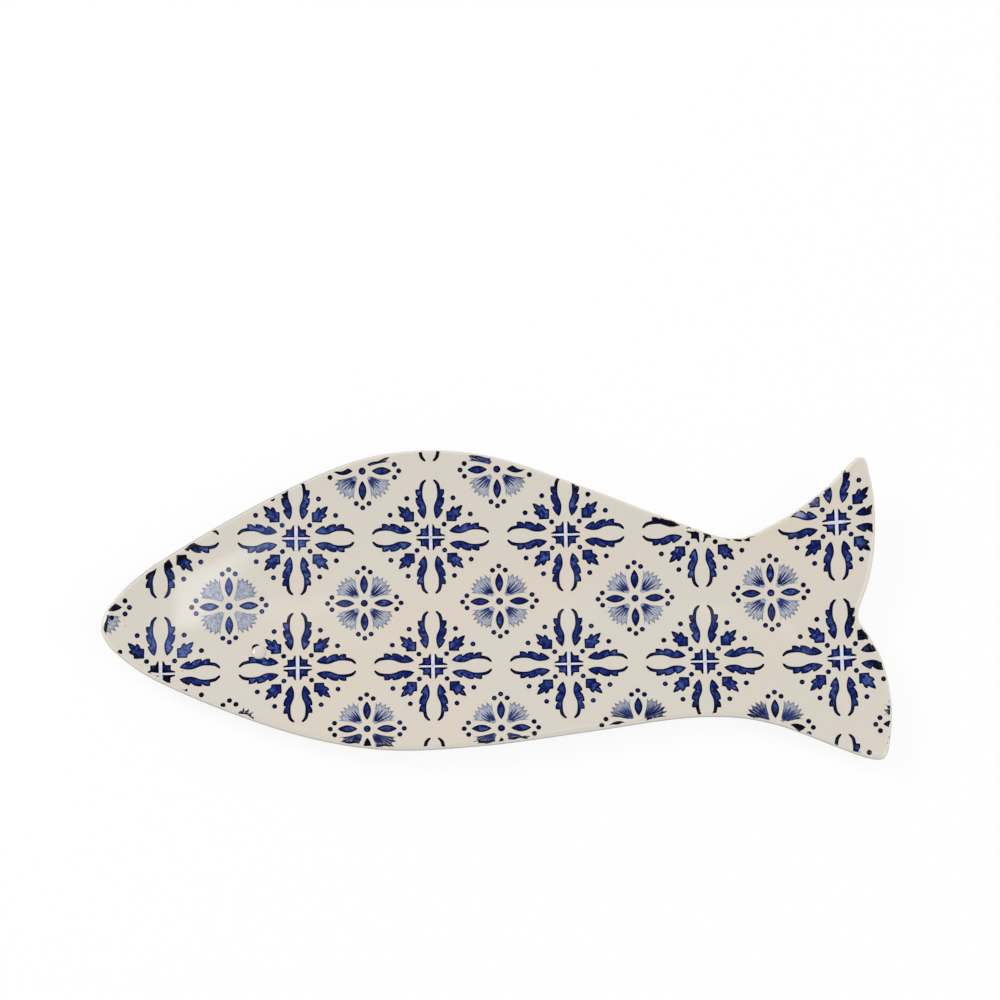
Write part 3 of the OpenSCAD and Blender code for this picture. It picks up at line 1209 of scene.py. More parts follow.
def outline_gap(points: np.ndarray, outline: np.ndarray) -> np.ndarray:
    """Measures the gap from points to a closed outline.

    Args:
        points: The points.
        outline: The outline's points in order.

    Returns:
        The gaps, all positive.
    """
    after = np.roll(outline, -1, 0)
    side = after - outline
    long = np.maximum((side**2).sum(1), LEAST_SQUARE)
    gaps = np.empty(len(points))
    for start in range(0, len(points), POINTS_AT_A_TIME):
        batch = slice(start, start + POINTS_AT_A_TIME)
        part = points[batch, None] - outline[None]
        share = np.clip((part * side).sum(2) / long, 0, 1)
        away = part - side * share[..., None]
        gaps[batch] = np.hypot(*away.transpose(2, 0, 1)).min(1)
    return gaps


def unit(steps: np.ndarray) -> np.ndarray:
    """Returns each step's way with a length of 1."""
    return steps / np.maximum(lengths(steps), LEAST_LENGTH)[:, None]


def spread_outline(outline: np.ndarray, reach: float) -> np.ndarray:
    """Moves a closed outline outwards.

    Args:
        outline: The outline's points in order.
        reach: How far each point moves.

    Returns:
        The wider outline.
    """
    after, before = np.roll(outline, -1, 0), np.roll(outline, 1, 0)
    area = (outline[:, 0] * after[:, 1] - outline[:, 1] * after[:, 0]).sum()
    way = unit(unit(after - outline) + unit(outline - before))
    return outline + np.stack([way[:, 1], -way[:, 0]], 1) * reach * np.sign(area)


def inside_outline(points: np.ndarray, outline: np.ndarray) -> np.ndarray:
    """Tells which points lie inside a closed outline.

    Args:
        points: The points.
        outline: The outline's points in order.

    Returns:
        True for each point inside.
    """
    x, y = points[:, None].transpose(2, 0, 1)
    ax, ay = outline.T
    bx, by = np.roll(outline, -1, 0).T
    crosses = (ay > y) != (by > y)
    high = np.where(by == ay, LEAST_SQUARE, by - ay)
    left = x < (bx - ax) * (y - ay) / high + ax
    return (crosses & left).sum(1) % 2 == 1


def eased(points: tuple, steps: int = 4) -> np.ndarray:
    """Draws a soft line through points.

    Args:
        points: The points.
        steps: How many parts each stretch gets.

    Returns:
        The line's points.
    """
    p = np.array(points, float)
    long = np.concatenate([p[:1], p, p[-1:]])
    before, start, after, later = long[:-3], long[1:-2], long[2:-1], long[3:]
    line = []
    for f in np.arange(steps) / steps:
        line.append(0.5 * (
            2 * start + (after - before) * f + (2 * before - 5 * start + 4 * after - later) * f**2
            + (3 * start - before - 3 * after + later) * f**3
        ))
    return np.concatenate([np.stack(line, 1).reshape(-1, 2), p[-1:]])


def compass(degrees: np.ndarray) -> np.ndarray:
    """Returns the unit ways at angles."""
    turn = np.radians(degrees)
    return np.column_stack([np.cos(turn), np.sin(turn)])


def circle(middle: tuple, radius: float, count: int = 24) -> np.ndarray:
    """Returns points round a circle."""
    return np.array(middle) + radius * compass(np.linspace(0, 360 - 360 / count, count))


@dataclass
class TileMotifs:
    """The tile pattern's two motifs, drawn in shares of the tile's pitch.

    The leaf's lobes are its outer side, from the tip back to the base. fan_side holds reaches from
    the rosette's middle and turns from the diagonal, streak_shares and streak_widths places along
    a brush stroke and its width there.
    """

    pitch: float = 0.0688
    curve_points: int = 13
    lobe_steps: int = 3
    fill_gap: float = 0.0095
    fill_row: float = 0.87
    fill_clear: float = 0.45
    fill_exact: float = 1e-7
    ink_spread: float = 0.0022
    dot_radius: float = 0.0165
    heart_radius: float = 0.0245
    petal_start: float = 0.073
    petal_end: float = 0.217
    petal_half: float = 0.0275
    petal_power: float = 0.9
    fan_teeth: int = 7
    fan_turn: float = 27.5
    fan_tip: float = 0.247
    fan_tip_drop: float = 0.025
    fan_notch: float = 0.034
    fan_base: tuple = (0.047, 0.047)
    fan_side: tuple = ((0.190, 25.2), (0.150, 22.0), (0.105, 18.5), (0.064, 11.0))
    ray_base: float = 0.8
    ray_margin: float = 6.0
    streak_count: int = 5
    streak_turn: float = 18.0
    streak_start: tuple = (0.004, 0.026)
    streak_long: tuple = (0.085, 0.130)
    streak_half: tuple = (0.0050, 0.0070)
    streak_apart: float = 0.011
    streak_wobble: float = 3.0
    streak_base: float = 1.05
    streak_cross: tuple = (-0.7, 0.7)
    outer_loss: float = 0.2
    streak_shares: tuple = (0, 0.15, 0.4, 0.7, 1.0)
    streak_widths: tuple = (0.5, 1.0, 1.0, 0.8, 0.3)
    band_half: float = 0.0122
    band_reach: float = 0.086
    leaf_inner: tuple = (
        (0.140, 0.047), (0.165, 0.036), (0.195, 0.030), (0.225, 0.030), (0.252, 0.037),
        (0.280, 0.049), (0.310, 0.056), (0.350, 0.056), (0.385, 0.051), (0.406, 0.042),
        (0.424, 0.028),
    )
    leaf_lobes: tuple = (
        (
            (0.431, 0.030), (0.429, 0.040), (0.416, 0.056), (0.402, 0.067), (0.382, 0.073),
            (0.359, 0.077),
        ),
        ((0.359, 0.104), (0.338, 0.105), (0.317, 0.098), (0.300, 0.086)),
        ((0.298, 0.104), (0.274, 0.104), (0.250, 0.097), (0.232, 0.086), (0.218, 0.074)),
        ((0.210, 0.091), (0.197, 0.090), (0.179, 0.080), (0.158, 0.066)),
    )
    ivy_half: tuple = (
        (0.190, 0.120), (0.194, 0.126), (0.194, 0.143), (0.205, 0.151), (0.220, 0.157),
        (0.231, 0.169), (0.228, 0.179), (0.213, 0.184), (0.222, 0.196), (0.230, 0.210),
        (0.236, 0.226),
    )
    ivy_base: tuple = (0.122, 0.122)
    ivy_tip: tuple = (0.239, 0.239)
    corner: tuple = (
        (0.0140, 0.0095), (0.104, 0.0100), (0.105, 0.016), (0.092, 0.021), (0.078, 0.025),
        (0.0715, 0.034), (0.0745, 0.066), (0.040, 0.066), (0.032, 0.071), (0.027, 0.084),
        (0.021, 0.095), (0.0150, 0.097),
    )
    cross_dots: tuple = ((0.102, 0.098), (0.297, 0.171), (0.171, 0.294))
    rosette_dots: tuple = ((0.2725, 0.0), (0.2405, 0.0472), (0.2405, -0.0472))

    def filled(self, outline: np.ndarray, ink: Ink) -> Stencil:
        """Fills an outline with triangles.

        Args:
            outline: The outline's points in order.
            ink: The shape's tone.

        Returns:
            The filled shape, each of whose points knows its depth inside the outline.
        """
        if ink is Ink.DARK:
            outline = spread_outline(outline, self.ink_spread)
        low, high = outline.min(0), outline.max(0)
        gap = self.fill_gap
        xs = np.arange(low[0], high[0], gap)
        ys = np.arange(low[1], high[1], gap * self.fill_row)
        grid = np.array([(x + (j % 2) * gap / 2, y) for j, y in enumerate(ys) for x in xs])
        grid = grid[inside_outline(grid, outline)]
        grid = grid[outline_gap(grid, outline) > gap * self.fill_clear]
        both = np.concatenate([outline, grid])
        ring = list(range(len(outline)))
        cut = delaunay_2d_cdt([Vector(p) for p in both], [], [ring], 1, self.fill_exact)
        points = np.array([p[:] for p in cut[0]])
        triangles = np.array([f for f in cut[2] if len(f) == 3])
        depth = outline_gap(points, outline) * self.pitch
        return Stencil(points, triangles, depth, ink)

    def leaf(self) -> Stencil:
        """Returns the long leaf that lies along the first axis, on its upper side."""
        lobes = [eased(lobe, self.lobe_steps) for lobe in self.leaf_lobes]
        return self.filled(np.concatenate([eased(self.leaf_inner), *lobes]), Ink.DARK)

    def ivy(self) -> Stencil:
        """Draws the short leaf that lies on the diagonal.

        Returns:
            The leaf.
        """
        mirrored = [(y, x) for x, y in reversed(self.ivy_half)]
        outline = np.array([self.ivy_base, *self.ivy_half, self.ivy_tip, *mirrored])
        return self.filled(outline, Ink.DARK)

    def petal(self) -> Stencil:
        """Draws the petal that lies along the first axis.

        Returns:
            The petal.
        """
        share = np.linspace(0, 1, self.curve_points)
        across = self.petal_half * np.sin(np.pi * share) ** self.petal_power
        along = self.petal_start + (self.petal_end - self.petal_start) * share
        upper = np.column_stack([along, across])
        lower = np.column_stack([along, -across])[-2:0:-1]
        return self.filled(np.concatenate([upper, lower]), Ink.DARK)

    def fan(self) -> Stencil:
        """Draws the toothed fan on the diagonal.

        Returns:
            The fan, each of whose points knows its turn and its reach in the fan.
        """
        tips = np.linspace(-1, 1, self.fan_teeth)
        outline = []
        for i, tip in enumerate(tips):
            reach = self.fan_tip - self.fan_tip_drop * tip**2
            outline.append((reach, DIAGONAL + self.fan_turn * tip))
            if i < self.fan_teeth - 1:
                middle = (tip + tips[i + 1]) / 2
                outline.append((reach - self.fan_notch, DIAGONAL + self.fan_turn * middle))
        outline += [(reach, DIAGONAL + turn) for reach, turn in self.fan_side]
        outline += [(reach, DIAGONAL - turn) for reach, turn in reversed(self.fan_side)]
        reaches, turns = np.array(outline).T
        shape = self.filled(reaches[:, None] * compass(turns), Ink.WASH)
        away = shape.points - np.array(self.fan_base) * self.ray_base
        turn = np.degrees(np.arctan2(away[:, 1], away[:, 0])) - DIAGONAL
        shape.turn = turn / (2 * self.fan_turn + self.ray_margin)
        shape.reach = lengths(shape.points) / self.fan_tip
        return shape

    def streaks(self, chance: random.Random) -> list[Stencil]:
        """Draws a fan's dark brush strokes, which spread from its base.

        Args:
            chance: The random numbers for their places and lengths.

        Returns:
            The strokes.
        """
        shapes = []
        share = np.array(self.streak_shares)[:, None]
        for spread in np.linspace(-1, 1, self.streak_count):
            turn = self.streak_turn * spread
            turn += chance.uniform(-self.streak_wobble, self.streak_wobble)
            start, long = chance.uniform(*self.streak_start), chance.uniform(*self.streak_long)
            long *= 1 - self.outer_loss * abs(spread)
            wide = chance.uniform(*self.streak_half) * np.array(self.streak_widths)[:, None]
            way = compass(np.array([DIAGONAL + turn]))[0]
            side = np.array([-way[1], way[0]]) * wide
            line = np.array(self.fan_base) * self.streak_base + way * (start + long * share)
            line = line + np.array(self.streak_cross) * self.streak_apart * spread
            shapes.append(self.filled(np.concatenate([line + side, (line - side)[::-1]]), Ink.STROKE))
        return shapes

    def dot(self, middle: tuple, radius: float) -> Stencil:
        """Returns a round dot."""
        return self.filled(circle(middle, radius), Ink.DARK)

    def cross(self) -> list[Stencil]:
        """Draws the cross of leaves.

        Returns:
            Its shapes.
        """
        swap = np.array([[0, 1], [1, 0]])
        leaf, ivy = self.leaf(), self.ivy()
        corner = self.filled(np.array(self.corner), Ink.DARK)
        shapes = []
        for flip in [np.diag([a, b]) for a in (1, -1) for b in (1, -1)]:
            shapes += [leaf.moved(flip), leaf.moved(flip @ swap), ivy.moved(flip), corner.moved(flip)]
            shapes += [self.dot(flip @ spot, self.dot_radius) for spot in self.cross_dots]
        half, reach = self.band_half, self.band_reach
        for a, b in ((reach, half), (half, reach)):
            shapes.append(self.filled(np.array([(-a, -b), (a, -b), (a, b), (-a, b)]), Ink.BAND))
        return shapes

    def rosette(self) -> list[Stencil]:
        """Draws the rosette.

        Returns:
            Its shapes.
        """
        quarter = np.array([[0, -1], [1, 0]])
        petal, fan = self.petal(), self.fan()
        chance = random.Random(SEED)
        shapes = [self.dot((0.0, 0.0), self.heart_radius)]
        turn = np.eye(2)
        for _ in range(4):
            shapes += [fan.moved(turn), petal.moved(turn)]
            shapes += [streak.moved(turn) for streak in self.streaks(chance)]
            shapes += [self.dot(turn @ spot, self.dot_radius) for spot in self.rosette_dots]
            turn = quarter @ turn
        return shapes


@dataclass(frozen=True)
class TileLattice:
    """Where the motifs stand: rows and columns of tiles that bend a little as they follow the form.

    Places are counted in tiles from the first cross, to the right and down. Crosses stand on whole
    numbers and rosettes half way between them. Each of the hand_shifts has a motif's column and
    row and its shift right and up. nose_columns holds the columns where the shift at the nose ends
    on one side and is full on the other, and the reach over which it ends there.
    """

    rows: tuple = (-1.0, -0.5, 0.0, 0.5, 1.0, 1.5, 2.0)
    first_column: int = -3
    last_column: int = 6
    first_cross: tuple = (-0.10198, 0.03480)
    right_way: tuple = (0.06882, 0.00151)
    down_way: tuple = (0.00144, -0.06892)
    sag: float = 0.00025
    sag_middle: float = 1.9
    sag_level: float = 1.5
    nose_drop: float = 0.0008
    nose_drop_by_row: float = 0.0026
    belly_rise: float = 0.0007
    fin_drop: float = 0.0017
    fin_corner: tuple = (2.4, 0.3)
    fin_shift: float = 0.0004
    fin_column: float = 3.0
    nose_shift: float = 0.00035
    nose_columns: tuple = (0.7, -0.4, 0.6)
    hand_shifts: tuple = (
        (0.5, 1.5, 0.0006, 0.0007), (1.5, 1.5, -0.0005, 0.0), (2.5, 1.5, 0.0, 0.0004),
        (3.5, 0.5, 0.0, 0.0004), (3.5, 1.5, -0.0001, -0.0013),
    )

    def columns(self, row: float) -> list[float]:
        """Returns the places to the right of a row's motifs."""
        return [u + row % 1 for u in range(self.first_column, self.last_column)]

    def shift(self, column: float, row: float) -> np.ndarray:
        """Returns the listed shift of one motif."""
        shifts = {(at, level): (right, up) for at, level, right, up in self.hand_shifts}
        return np.array(shifts.get((column, row), (0.0, 0.0)))

    def spot(self, u: np.ndarray, v: np.ndarray) -> np.ndarray:
        """Finds places of the lattice in the plan.

        Args:
            u: Tiles to the right of the first cross.
            v: Tiles down from it.

        Returns:
            The plan's points.
        """
        plan = np.array(self.first_cross) + u[:, None] * self.right_way + v[:, None] * self.down_way
        plan[:, 1] += self.sag * ((u - self.sag_middle) ** 2 - self.sag_level)
        plan[:, 1] += np.minimum(u, 0) * (self.nose_drop + self.nose_drop_by_row * v)
        plan[:, 1] += self.belly_rise * np.maximum(v, 0) * rise(u, -1, 1)
        past = np.maximum(u - self.fin_corner[0], 0) * np.maximum(v - self.fin_corner[1], 0)
        plan[:, 1] -= self.fin_drop * past
        plan[:, 0] += self.fin_shift * rise(u, self.fin_column, 1) * rise(v, 0, 1)
        start, full, reach = self.nose_columns
        nose = rise(u, start, -start) * np.clip(1 + (u - full) / reach, 0, 1)
        plan[:, 0] += self.nose_shift * nose
        return plan


@dataclass
class PrintEdge:
    """Where the print ends: a little inside the rim, and round the eye.

    Each of the rim_waves has its turns along and across and its start, each of the fades a start
    and the reach over which its gap sets in, and each of the cuts a place along, its reach and how
    much earlier the print ends there.
    """

    form: PlatterForm
    rim_gap: float = 0.0014
    rim_gap_wobble: float = 0.00025
    rim_waves: tuple = ((900.0, 400.0, 0.0), (350.0, -760.0, 1.0))
    belly_gap: float = 0.0004
    belly_fades: tuple = ((-0.02, -0.03), (-0.15, 0.02))
    nose_gap: float = 0.0004
    nose_fade: tuple = (-0.165, -0.02)
    upper_cuts: tuple = (
        (-0.0635, 0.012, 0.0025), (-0.0785, 0.006, 0.0012), (0.009, 0.012, 0.0015),
        (-0.1821, 0.003, 0.0010), (-0.170, 0.024, 0.0008),
    )
    lower_cuts: tuple = ((0.1575, 0.006, -0.0008),)
    nose_dot: tuple = (-0.1905, -0.0247)
    nose_dot_reach: float = 0.0035
    nose_dot_gap: float = 0.0011
    eye_gap: float = 0.0002

    def room(self, plan: np.ndarray) -> tuple[np.ndarray, np.ndarray]:
        """Measures how far points lie from where the print ends.

        Args:
            plan: Points of the plan.

        Returns:
            How far inside the printed part they lie, below zero outside it, and how far inside
            the platter's edge.
        """
        gap = outline_gap(plan, self.form.edge)
        gap = np.where(inside_outline(plan, self.form.edge), gap, -gap)
        x, y = plan.T
        wobble = sum(np.sin(along * x + across * y + start) for along, across, start in self.rim_waves)
        cut = self.rim_gap + self.rim_gap_wobble * wobble
        low, back = self.belly_fades
        cut = cut - self.belly_gap * rise(y, *low) * rise(x, *back)
        cut = cut + self.nose_gap * rise(x, *self.nose_fade)
        for cuts, half in ((self.upper_cuts, y > 0), (self.lower_cuts, y < 0)):
            for middle, reach, more in cuts:
                cut = cut + more * np.exp(-(((x - middle) / reach) ** 2)) * half
        near_dot = lengths(plan - np.array(self.nose_dot)) / self.nose_dot_reach
        cut = cut - self.nose_dot_gap * np.exp(-(near_dot**2))
        away = lengths(plan - self.form.eye_spot())
        return np.minimum(gap - cut, away - self.eye_reach()), gap

    def eye_reach(self) -> float:
        """Returns how far from the eye's middle the print ends."""
        return self.form.eye_across / 2 + self.eye_gap


@dataclass(frozen=True)
class InkFlow:
    """How the ink has run: dark beside the rim, and paler at a few spots, partly as painted highlight.

    Each of the spots has a place, its reach and its strength.
    """

    rim_dark_full: float = 0.0018
    rim_dark_reach: float = 0.0050
    wash_dark_reach: float = 0.0100
    # An ink spot with a strength below zero paints the glaze's sheen on the upper fin's rim, a painted
    # highlight.
    ink_spots: tuple = (
        (0.1600, 0.0510, 0.024, -1.0), (0.1780, -0.0740, 0.016, 0.35),
        (-0.1650, -0.0345, 0.008, 3.2), (-0.1640, 0.0230, 0.012, 2.3),
    )
    ink_spot_edge: float = 2.2
    # Thinner ink at most of these spots; the one over the head's rosette is a painted highlight, the
    # glaze's glare over the ink.
    fade_and_glare_spots: tuple = (
        (-0.1380, 0.0000, 0.028, 1.3), (-0.1655, -0.0170, 0.012, 1.4),
        (-0.1045, 0.0325, 0.032, 0.75), (-0.1560, -0.0235, 0.009, 1.2),
    )

    def dark(self, plan: np.ndarray, inset: np.ndarray, ink: Ink) -> np.ndarray:
        """Works out how thick the ink has run beside the rim.

        Args:
            plan: Points of the plan.
            inset: How far they lie inside the line that the print keeps from the rim.
            ink: The tone of their shape.

        Returns:
            1 where it is thickest, 0 away from the rim and below zero where a painted highlight, the
            rim's sheen, pales it.
        """
        reach = self.wash_dark_reach if ink is Ink.WASH else self.rim_dark_reach
        share = np.clip(1 - (inset - self.rim_dark_full) / reach, 0, 1)
        return np.clip(share * self.level(plan), -1, 1)

    def level(self, plan: np.ndarray) -> np.ndarray:
        """Works out how much the rim darkens the ink.

        Args:
            plan: Points of the plan.

        Returns:
            1 at most points, and the strength of an ink spot at its own, below zero where it paints the
            rim's sheen.
        """
        level = np.ones(len(plan))
        for x, y, reach, strength in self.ink_spots:
            away = lengths(plan - np.array([x, y])) / reach
            share = np.clip(self.ink_spot_edge * (1 - away), 0, 1)
            level = level + (strength - level) * share
        return level

    def fade_and_glare(self, plan: np.ndarray) -> np.ndarray:
        """Works out how much lighter than the rest the ink is, at the head's rosette as a painted
        highlight.

        Args:
            plan: Points of the plan.

        Returns:
            What its tone gains at each point.
        """
        more = np.zeros(len(plan))
        for x, y, reach, strength in self.fade_and_glare_spots:
            away = lengths(plan - np.array([x, y])) / reach
            more = np.maximum(more, strength * np.exp(-(away**2)))
        return more


@dataclass
class InkPools:
    """Ink that has pooled: against the eye's bead, and in a strip and a blot at the nose's rim."""

    edge: PrintEdge
    motifs: TileMotifs
    eye_row: float = 1.0
    eye_turns: tuple = (88.0, 152.0)
    eye_thick: float = 0.0011
    eye_power: float = 0.6
    nose_row: float = 0.5
    nose_side: float = -0.18
    nose_ends: tuple = (-0.0165, -0.0058)
    nose_insets: tuple = (0.0018, 0.0033)
    nose_tips: tuple = (0.06, 0.94)
    nose_power: float = 0.5
    blot: tuple = (-0.1946, -0.0078)
    blot_radius: float = 0.0011

    def in_row(self, row: float) -> list[tuple[np.ndarray, Stencil]]:
        """Returns the pools that are stamped with a row of motifs."""
        pools = {self.eye_row: self.eye_pools, self.nose_row: self.nose_pools}
        return pools[row]() if row in pools else []

    def eye_pools(self) -> list[tuple[np.ndarray, Stencil]]:
        """Draws the ink pooled against the eye's bead, from the dot that the bead half covers.

        Returns:
            The points in the plan and the shape of one pool.
        """
        start, end = self.eye_turns
        share = np.linspace(0, 1, self.motifs.curve_points)
        way = compass(start + (end - start) * share)
        near = self.edge.eye_reach()
        far = near + self.eye_thick * np.sin(np.pi * share) ** self.eye_power
        outline = np.concatenate([way * near, (way * far[:, None])[::-1][1:-1]])
        return [self.pool(self.edge.form.eye_spot(), outline)]

    def nose_pools(self) -> list[tuple[np.ndarray, Stencil]]:
        """Draws the ink that has run together along the nose's rim: a strip and a blot.

        Returns:
            The points in the plan and the shape of each.
        """
        edge = self.edge.form.edge
        low, high = self.nose_ends
        side = edge[(edge[:, 0] < self.nose_side) & (edge[:, 1] > low) & (edge[:, 1] < high)]
        side = side[np.argsort(side[:, 1])]
        way = np.gradient(side, axis=0)
        inward = np.stack([way[:, 1], -way[:, 0]], 1) / lengths(way)[:, None]
        share = np.clip(np.linspace(0, 1, len(side)), *self.nose_tips)
        near, far = self.nose_insets
        thick = (far - near) * np.sin(np.pi * share) ** self.nose_power
        inner = side + inward * (near + thick)[:, None]
        strip = np.concatenate([side + inward * near, inner[::-1]])
        middle, blot = strip.mean(0), np.array(self.blot)
        ring = circle(self.blot, self.blot_radius)
        return [self.pool(middle, strip - middle), self.pool(blot, ring - blot)]

    def pool(self, middle: np.ndarray, outline: np.ndarray) -> tuple[np.ndarray, Stencil]:
        """Fills a pool of ink.

        Args:
            middle: Its middle in the plan.
            outline: Its outline round the middle, in metres.

        Returns:
            The pool's points in the plan and its shape.
        """
        pitch = self.motifs.pitch
        shape = self.motifs.filled(outline / pitch, Ink.DARK)
        return middle + shape.points * pitch, shape


@dataclass
class TilePrint:
    """The printed tile pattern: rows of crosses and rosettes laid on the face."""

    form: PlatterForm
    touch: FaceTouch
    lattice: TileLattice = TileLattice()
    flow: InkFlow = InkFlow()
    motifs: TileMotifs = field(default_factory=TileMotifs)
    tones: tuple = (0.55, 1.15)
    nose_fan_tone: float = 0.15
    nose_fan_column: float = -1.0
    cut_reach: float = 0.0016
    least_bit: float = 0.0007
    # Strokes are dropped where the ink pales, at the head's rosette as a painted highlight.
    fade_and_glare_stroke: float = 0.3
    lift: float = 0.00003
    top_lift: float = 0.00002

    def __post_init__(self) -> None:
        """Sets up where the print ends, its pools and its inks."""
        self.edge = PrintEdge(self.form)
        self.pools = InkPools(self.edge, self.motifs)
        self.inks = {
            Ink.DARK: TileInk().material(),
            Ink.WASH: FanWash().material(),
            Ink.BAND: PlainTint("cross_band", srgb(222, 221, 235), srgb(208, 209, 224)).material(),
            Ink.STROKE: PlainTint("fan_stroke", srgb(20, 28, 78), srgb(46, 58, 112)).material(),
        }

    def build(self) -> None:
        """Builds one piece for each row of motifs."""
        chance = random.Random(SEED)
        cross, rosette = self.motifs.cross(), self.motifs.rosette()
        for number, row in enumerate(self.lattice.rows):
            whole = row == int(row)
            sheet = self.stamp_row(cross if whole else rosette, row, chance)
            if sheet.triangles:
                self.lay(f"print_{'crosses' if whole else 'rosettes'}_{number}", sheet)

    def stamp_row(self, shapes: list[Stencil], row: float, chance: random.Random) -> PrintSheet:
        """Stamps one row of motifs and its pools, cut at the rim and the eye.

        Args:
            shapes: The motif's shapes.
            row: The row's place down, in tiles.
            chance: The random numbers for the tones.

        Returns:
            The stamped sheet.
        """
        sheet = PrintSheet()
        columns = self.lattice.columns(row)
        side = math.ceil(math.sqrt(len(columns)))
        for number, column in enumerate(columns):
            shift = self.lattice.shift(column, row)
            cell = np.array([number % side, number // side])
            for shape in shapes:
                tone = chance.uniform(*self.tones)
                if shape.ink is Ink.WASH and column < self.nose_fan_column:
                    tone = self.nose_fan_tone
                plan = self.lattice.spot(column + shape.points[:, 0], row - shape.points[:, 1])
                self.stamp(sheet, plan + shift, shape, tone, (cell + 0.5 + shape.points) / side)
        for plan, shape in self.pools.in_row(row):
            self.stamp(sheet, plan, shape, 0.0, (0.5 + shape.points) / side)
        return sheet

    def stamp(
        self, sheet: PrintSheet, plan: np.ndarray, shape: Stencil, tone: float, bake: np.ndarray
    ) -> None:
        """Adds one shape to a sheet, unless hardly anything of it is left or it is a stroke where the
        ink pales, which at the head's rosette is painted highlight.

        Args:
            sheet: The sheet.
            plan: Where the shape's points lie in the plan.
            shape: The shape.
            tone: How light its ink is.
            bake: The points' places in the row's picture.
        """
        room, gap = self.edge.room(plan)
        # Paler ink, at the head's rosette a painted highlight.
        fade_and_glare = self.flow.fade_and_glare(plan)
        lost = shape.ink is Ink.STROKE and fade_and_glare.min() > self.fade_and_glare_stroke
        if lost or room.max() <= self.least_bit:
            return
        dark = self.flow.dark(plan, gap - self.edge.rim_gap, shape.ink)
        cut = np.clip(1 - room / self.cut_reach, 0, 1)
        nothing = np.zeros(len(plan))
        turn = nothing if shape.turn is None else shape.turn
        reach = nothing if shape.reach is None else shape.reach
        facts = [plan, room, shape.depth, dark, tone + fade_and_glare, turn, reach, cut, bake]
        sheet.add(np.column_stack(facts), shape.triangles, shape.ink)

    def lay(self, name: str, sheet: PrintSheet) -> None:
        """Presses a sheet on the face as one piece, with the dark tones a hair above the others.

        Args:
            name: The piece's name.
            sheet: The sheet.
        """
        facts, triangles, tones = sheet.joined()
        top = (tones == Ink.DARK.value) | (tones == Ink.STROKE.value)
        over = self.lift + self.top_lift * np.isin(np.arange(len(facts)), triangles[top])
        points, normals = self.touch.press(facts[:, :sheet.ROOM])
        points = points + normals * over[:, None]
        carried = {fact: facts[:, k] for k, fact in enumerate(sheet.CARRIED, sheet.ROOM + 1)}
        used = sorted(set(tones.tolist()))
        piece = mesh_piece(name, points, triangles, [self.inks[Ink(t)] for t in used], carried)
        mesh = piece.data
        mesh.polygons.foreach_set("material_index", [used.index(t) for t in tones.tolist()])
        layer = mesh.uv_layers.new(name="OFBake")
        order = np.zeros(len(mesh.loops), np.int32)
        mesh.loops.foreach_get("vertex_index", order)
        layer.data.foreach_set("uv", facts[order, sheet.BAKE].astype(np.float32).ravel())
        mesh.normals_split_custom_set_from_vertices(normals.tolist())
        log.info("%s: %d points, %d faces", name, len(points), len(triangles))


class PrintSheet:
    """Gathers a row's stamped shapes and cuts them where the printed part ends.

    Each point has a row of facts: its place in the plan, its room inside the printed part, the
    numbers that the mesh carries and its place in the row's picture.
    """

    ROOM = 2
    CARRIED = ("depth", "rim", "tone", "turn", "reach", "cut")
    BAKE = slice(9, 11)

    def __init__(self) -> None:
        """Starts with no shapes."""
        self.facts: list[np.ndarray] = []
        self.triangles: list[np.ndarray] = []
        self.tones: list[np.ndarray] = []
        self.count = 0

    def add(self, facts: np.ndarray, triangles: np.ndarray, ink: Ink) -> None:
        """Adds one shape, cut where its room falls below zero.

        Args:
            facts: A row of numbers for each point.
            triangles: The shape's triangles.
            ink: The shape's tone.
        """
        room = facts[:, self.ROOM]
        signs = (room[triangles] > 0).sum(1)
        kept = [tuple(t) for t in triangles[signs == 3]]
        extra: list[np.ndarray] = []
        cuts: dict[tuple[int, int], int] = {}

        def cut(a: int, b: int) -> int:
            """Cuts a side where the print ends.

            Args:
                a: The number of the side's first point.
                b: The number of its second point.

            Returns:
                The number of the point between them.
            """
            key = (min(a, b), max(a, b))
            if key not in cuts:
                share = room[a] / (room[a] - room[b])
                cuts[key] = len(facts) + len(extra)
                extra.append(facts[a] + (facts[b] - facts[a]) * share)
            return cuts[key]

        for triangle in triangles[(signs == 1) | (signs == 2)]:
            inside = [room[p] > 0 for p in triangle]
            turn = inside.index(True) if sum(inside) == 1 else (inside.index(False) + 1) % 3
            a, b, c = (int(triangle[(turn + k) % 3]) for k in range(3))
            if sum(inside) == 1:
                kept.append((a, cut(a, b), cut(a, c)))
            else:
                last = cut(b, c)
                kept.append((a, b, last))
                kept.append((a, last, cut(a, c)))
        if not kept:
            return
        facts = np.concatenate([facts, extra]) if extra else facts
        numbers = np.array(kept)
        used, placed = np.unique(numbers, return_inverse=True)
        self.facts.append(facts[used])
        self.triangles.append(placed.reshape(-1, 3) + self.count)
        self.tones.append(np.full(len(numbers), ink.value))
        self.count += len(used)

    def joined(self) -> tuple[np.ndarray, np.ndarray, np.ndarray]:
        """Joins what the sheet has gathered.

        Returns:
            All points' facts, all triangles turned face up, and their tones.
        """
        facts = np.concatenate(self.facts)
        triangles = np.concatenate(self.triangles)
        a, b, c = (facts[triangles[:, k], :self.ROOM] for k in range(3))
        area = (b - a)[:, 0] * (c - a)[:, 1] - (b - a)[:, 1] * (c - a)[:, 0]
        triangles[area < 0] = triangles[area < 0][:, ::-1]
        return facts, triangles, np.concatenate(self.tones)


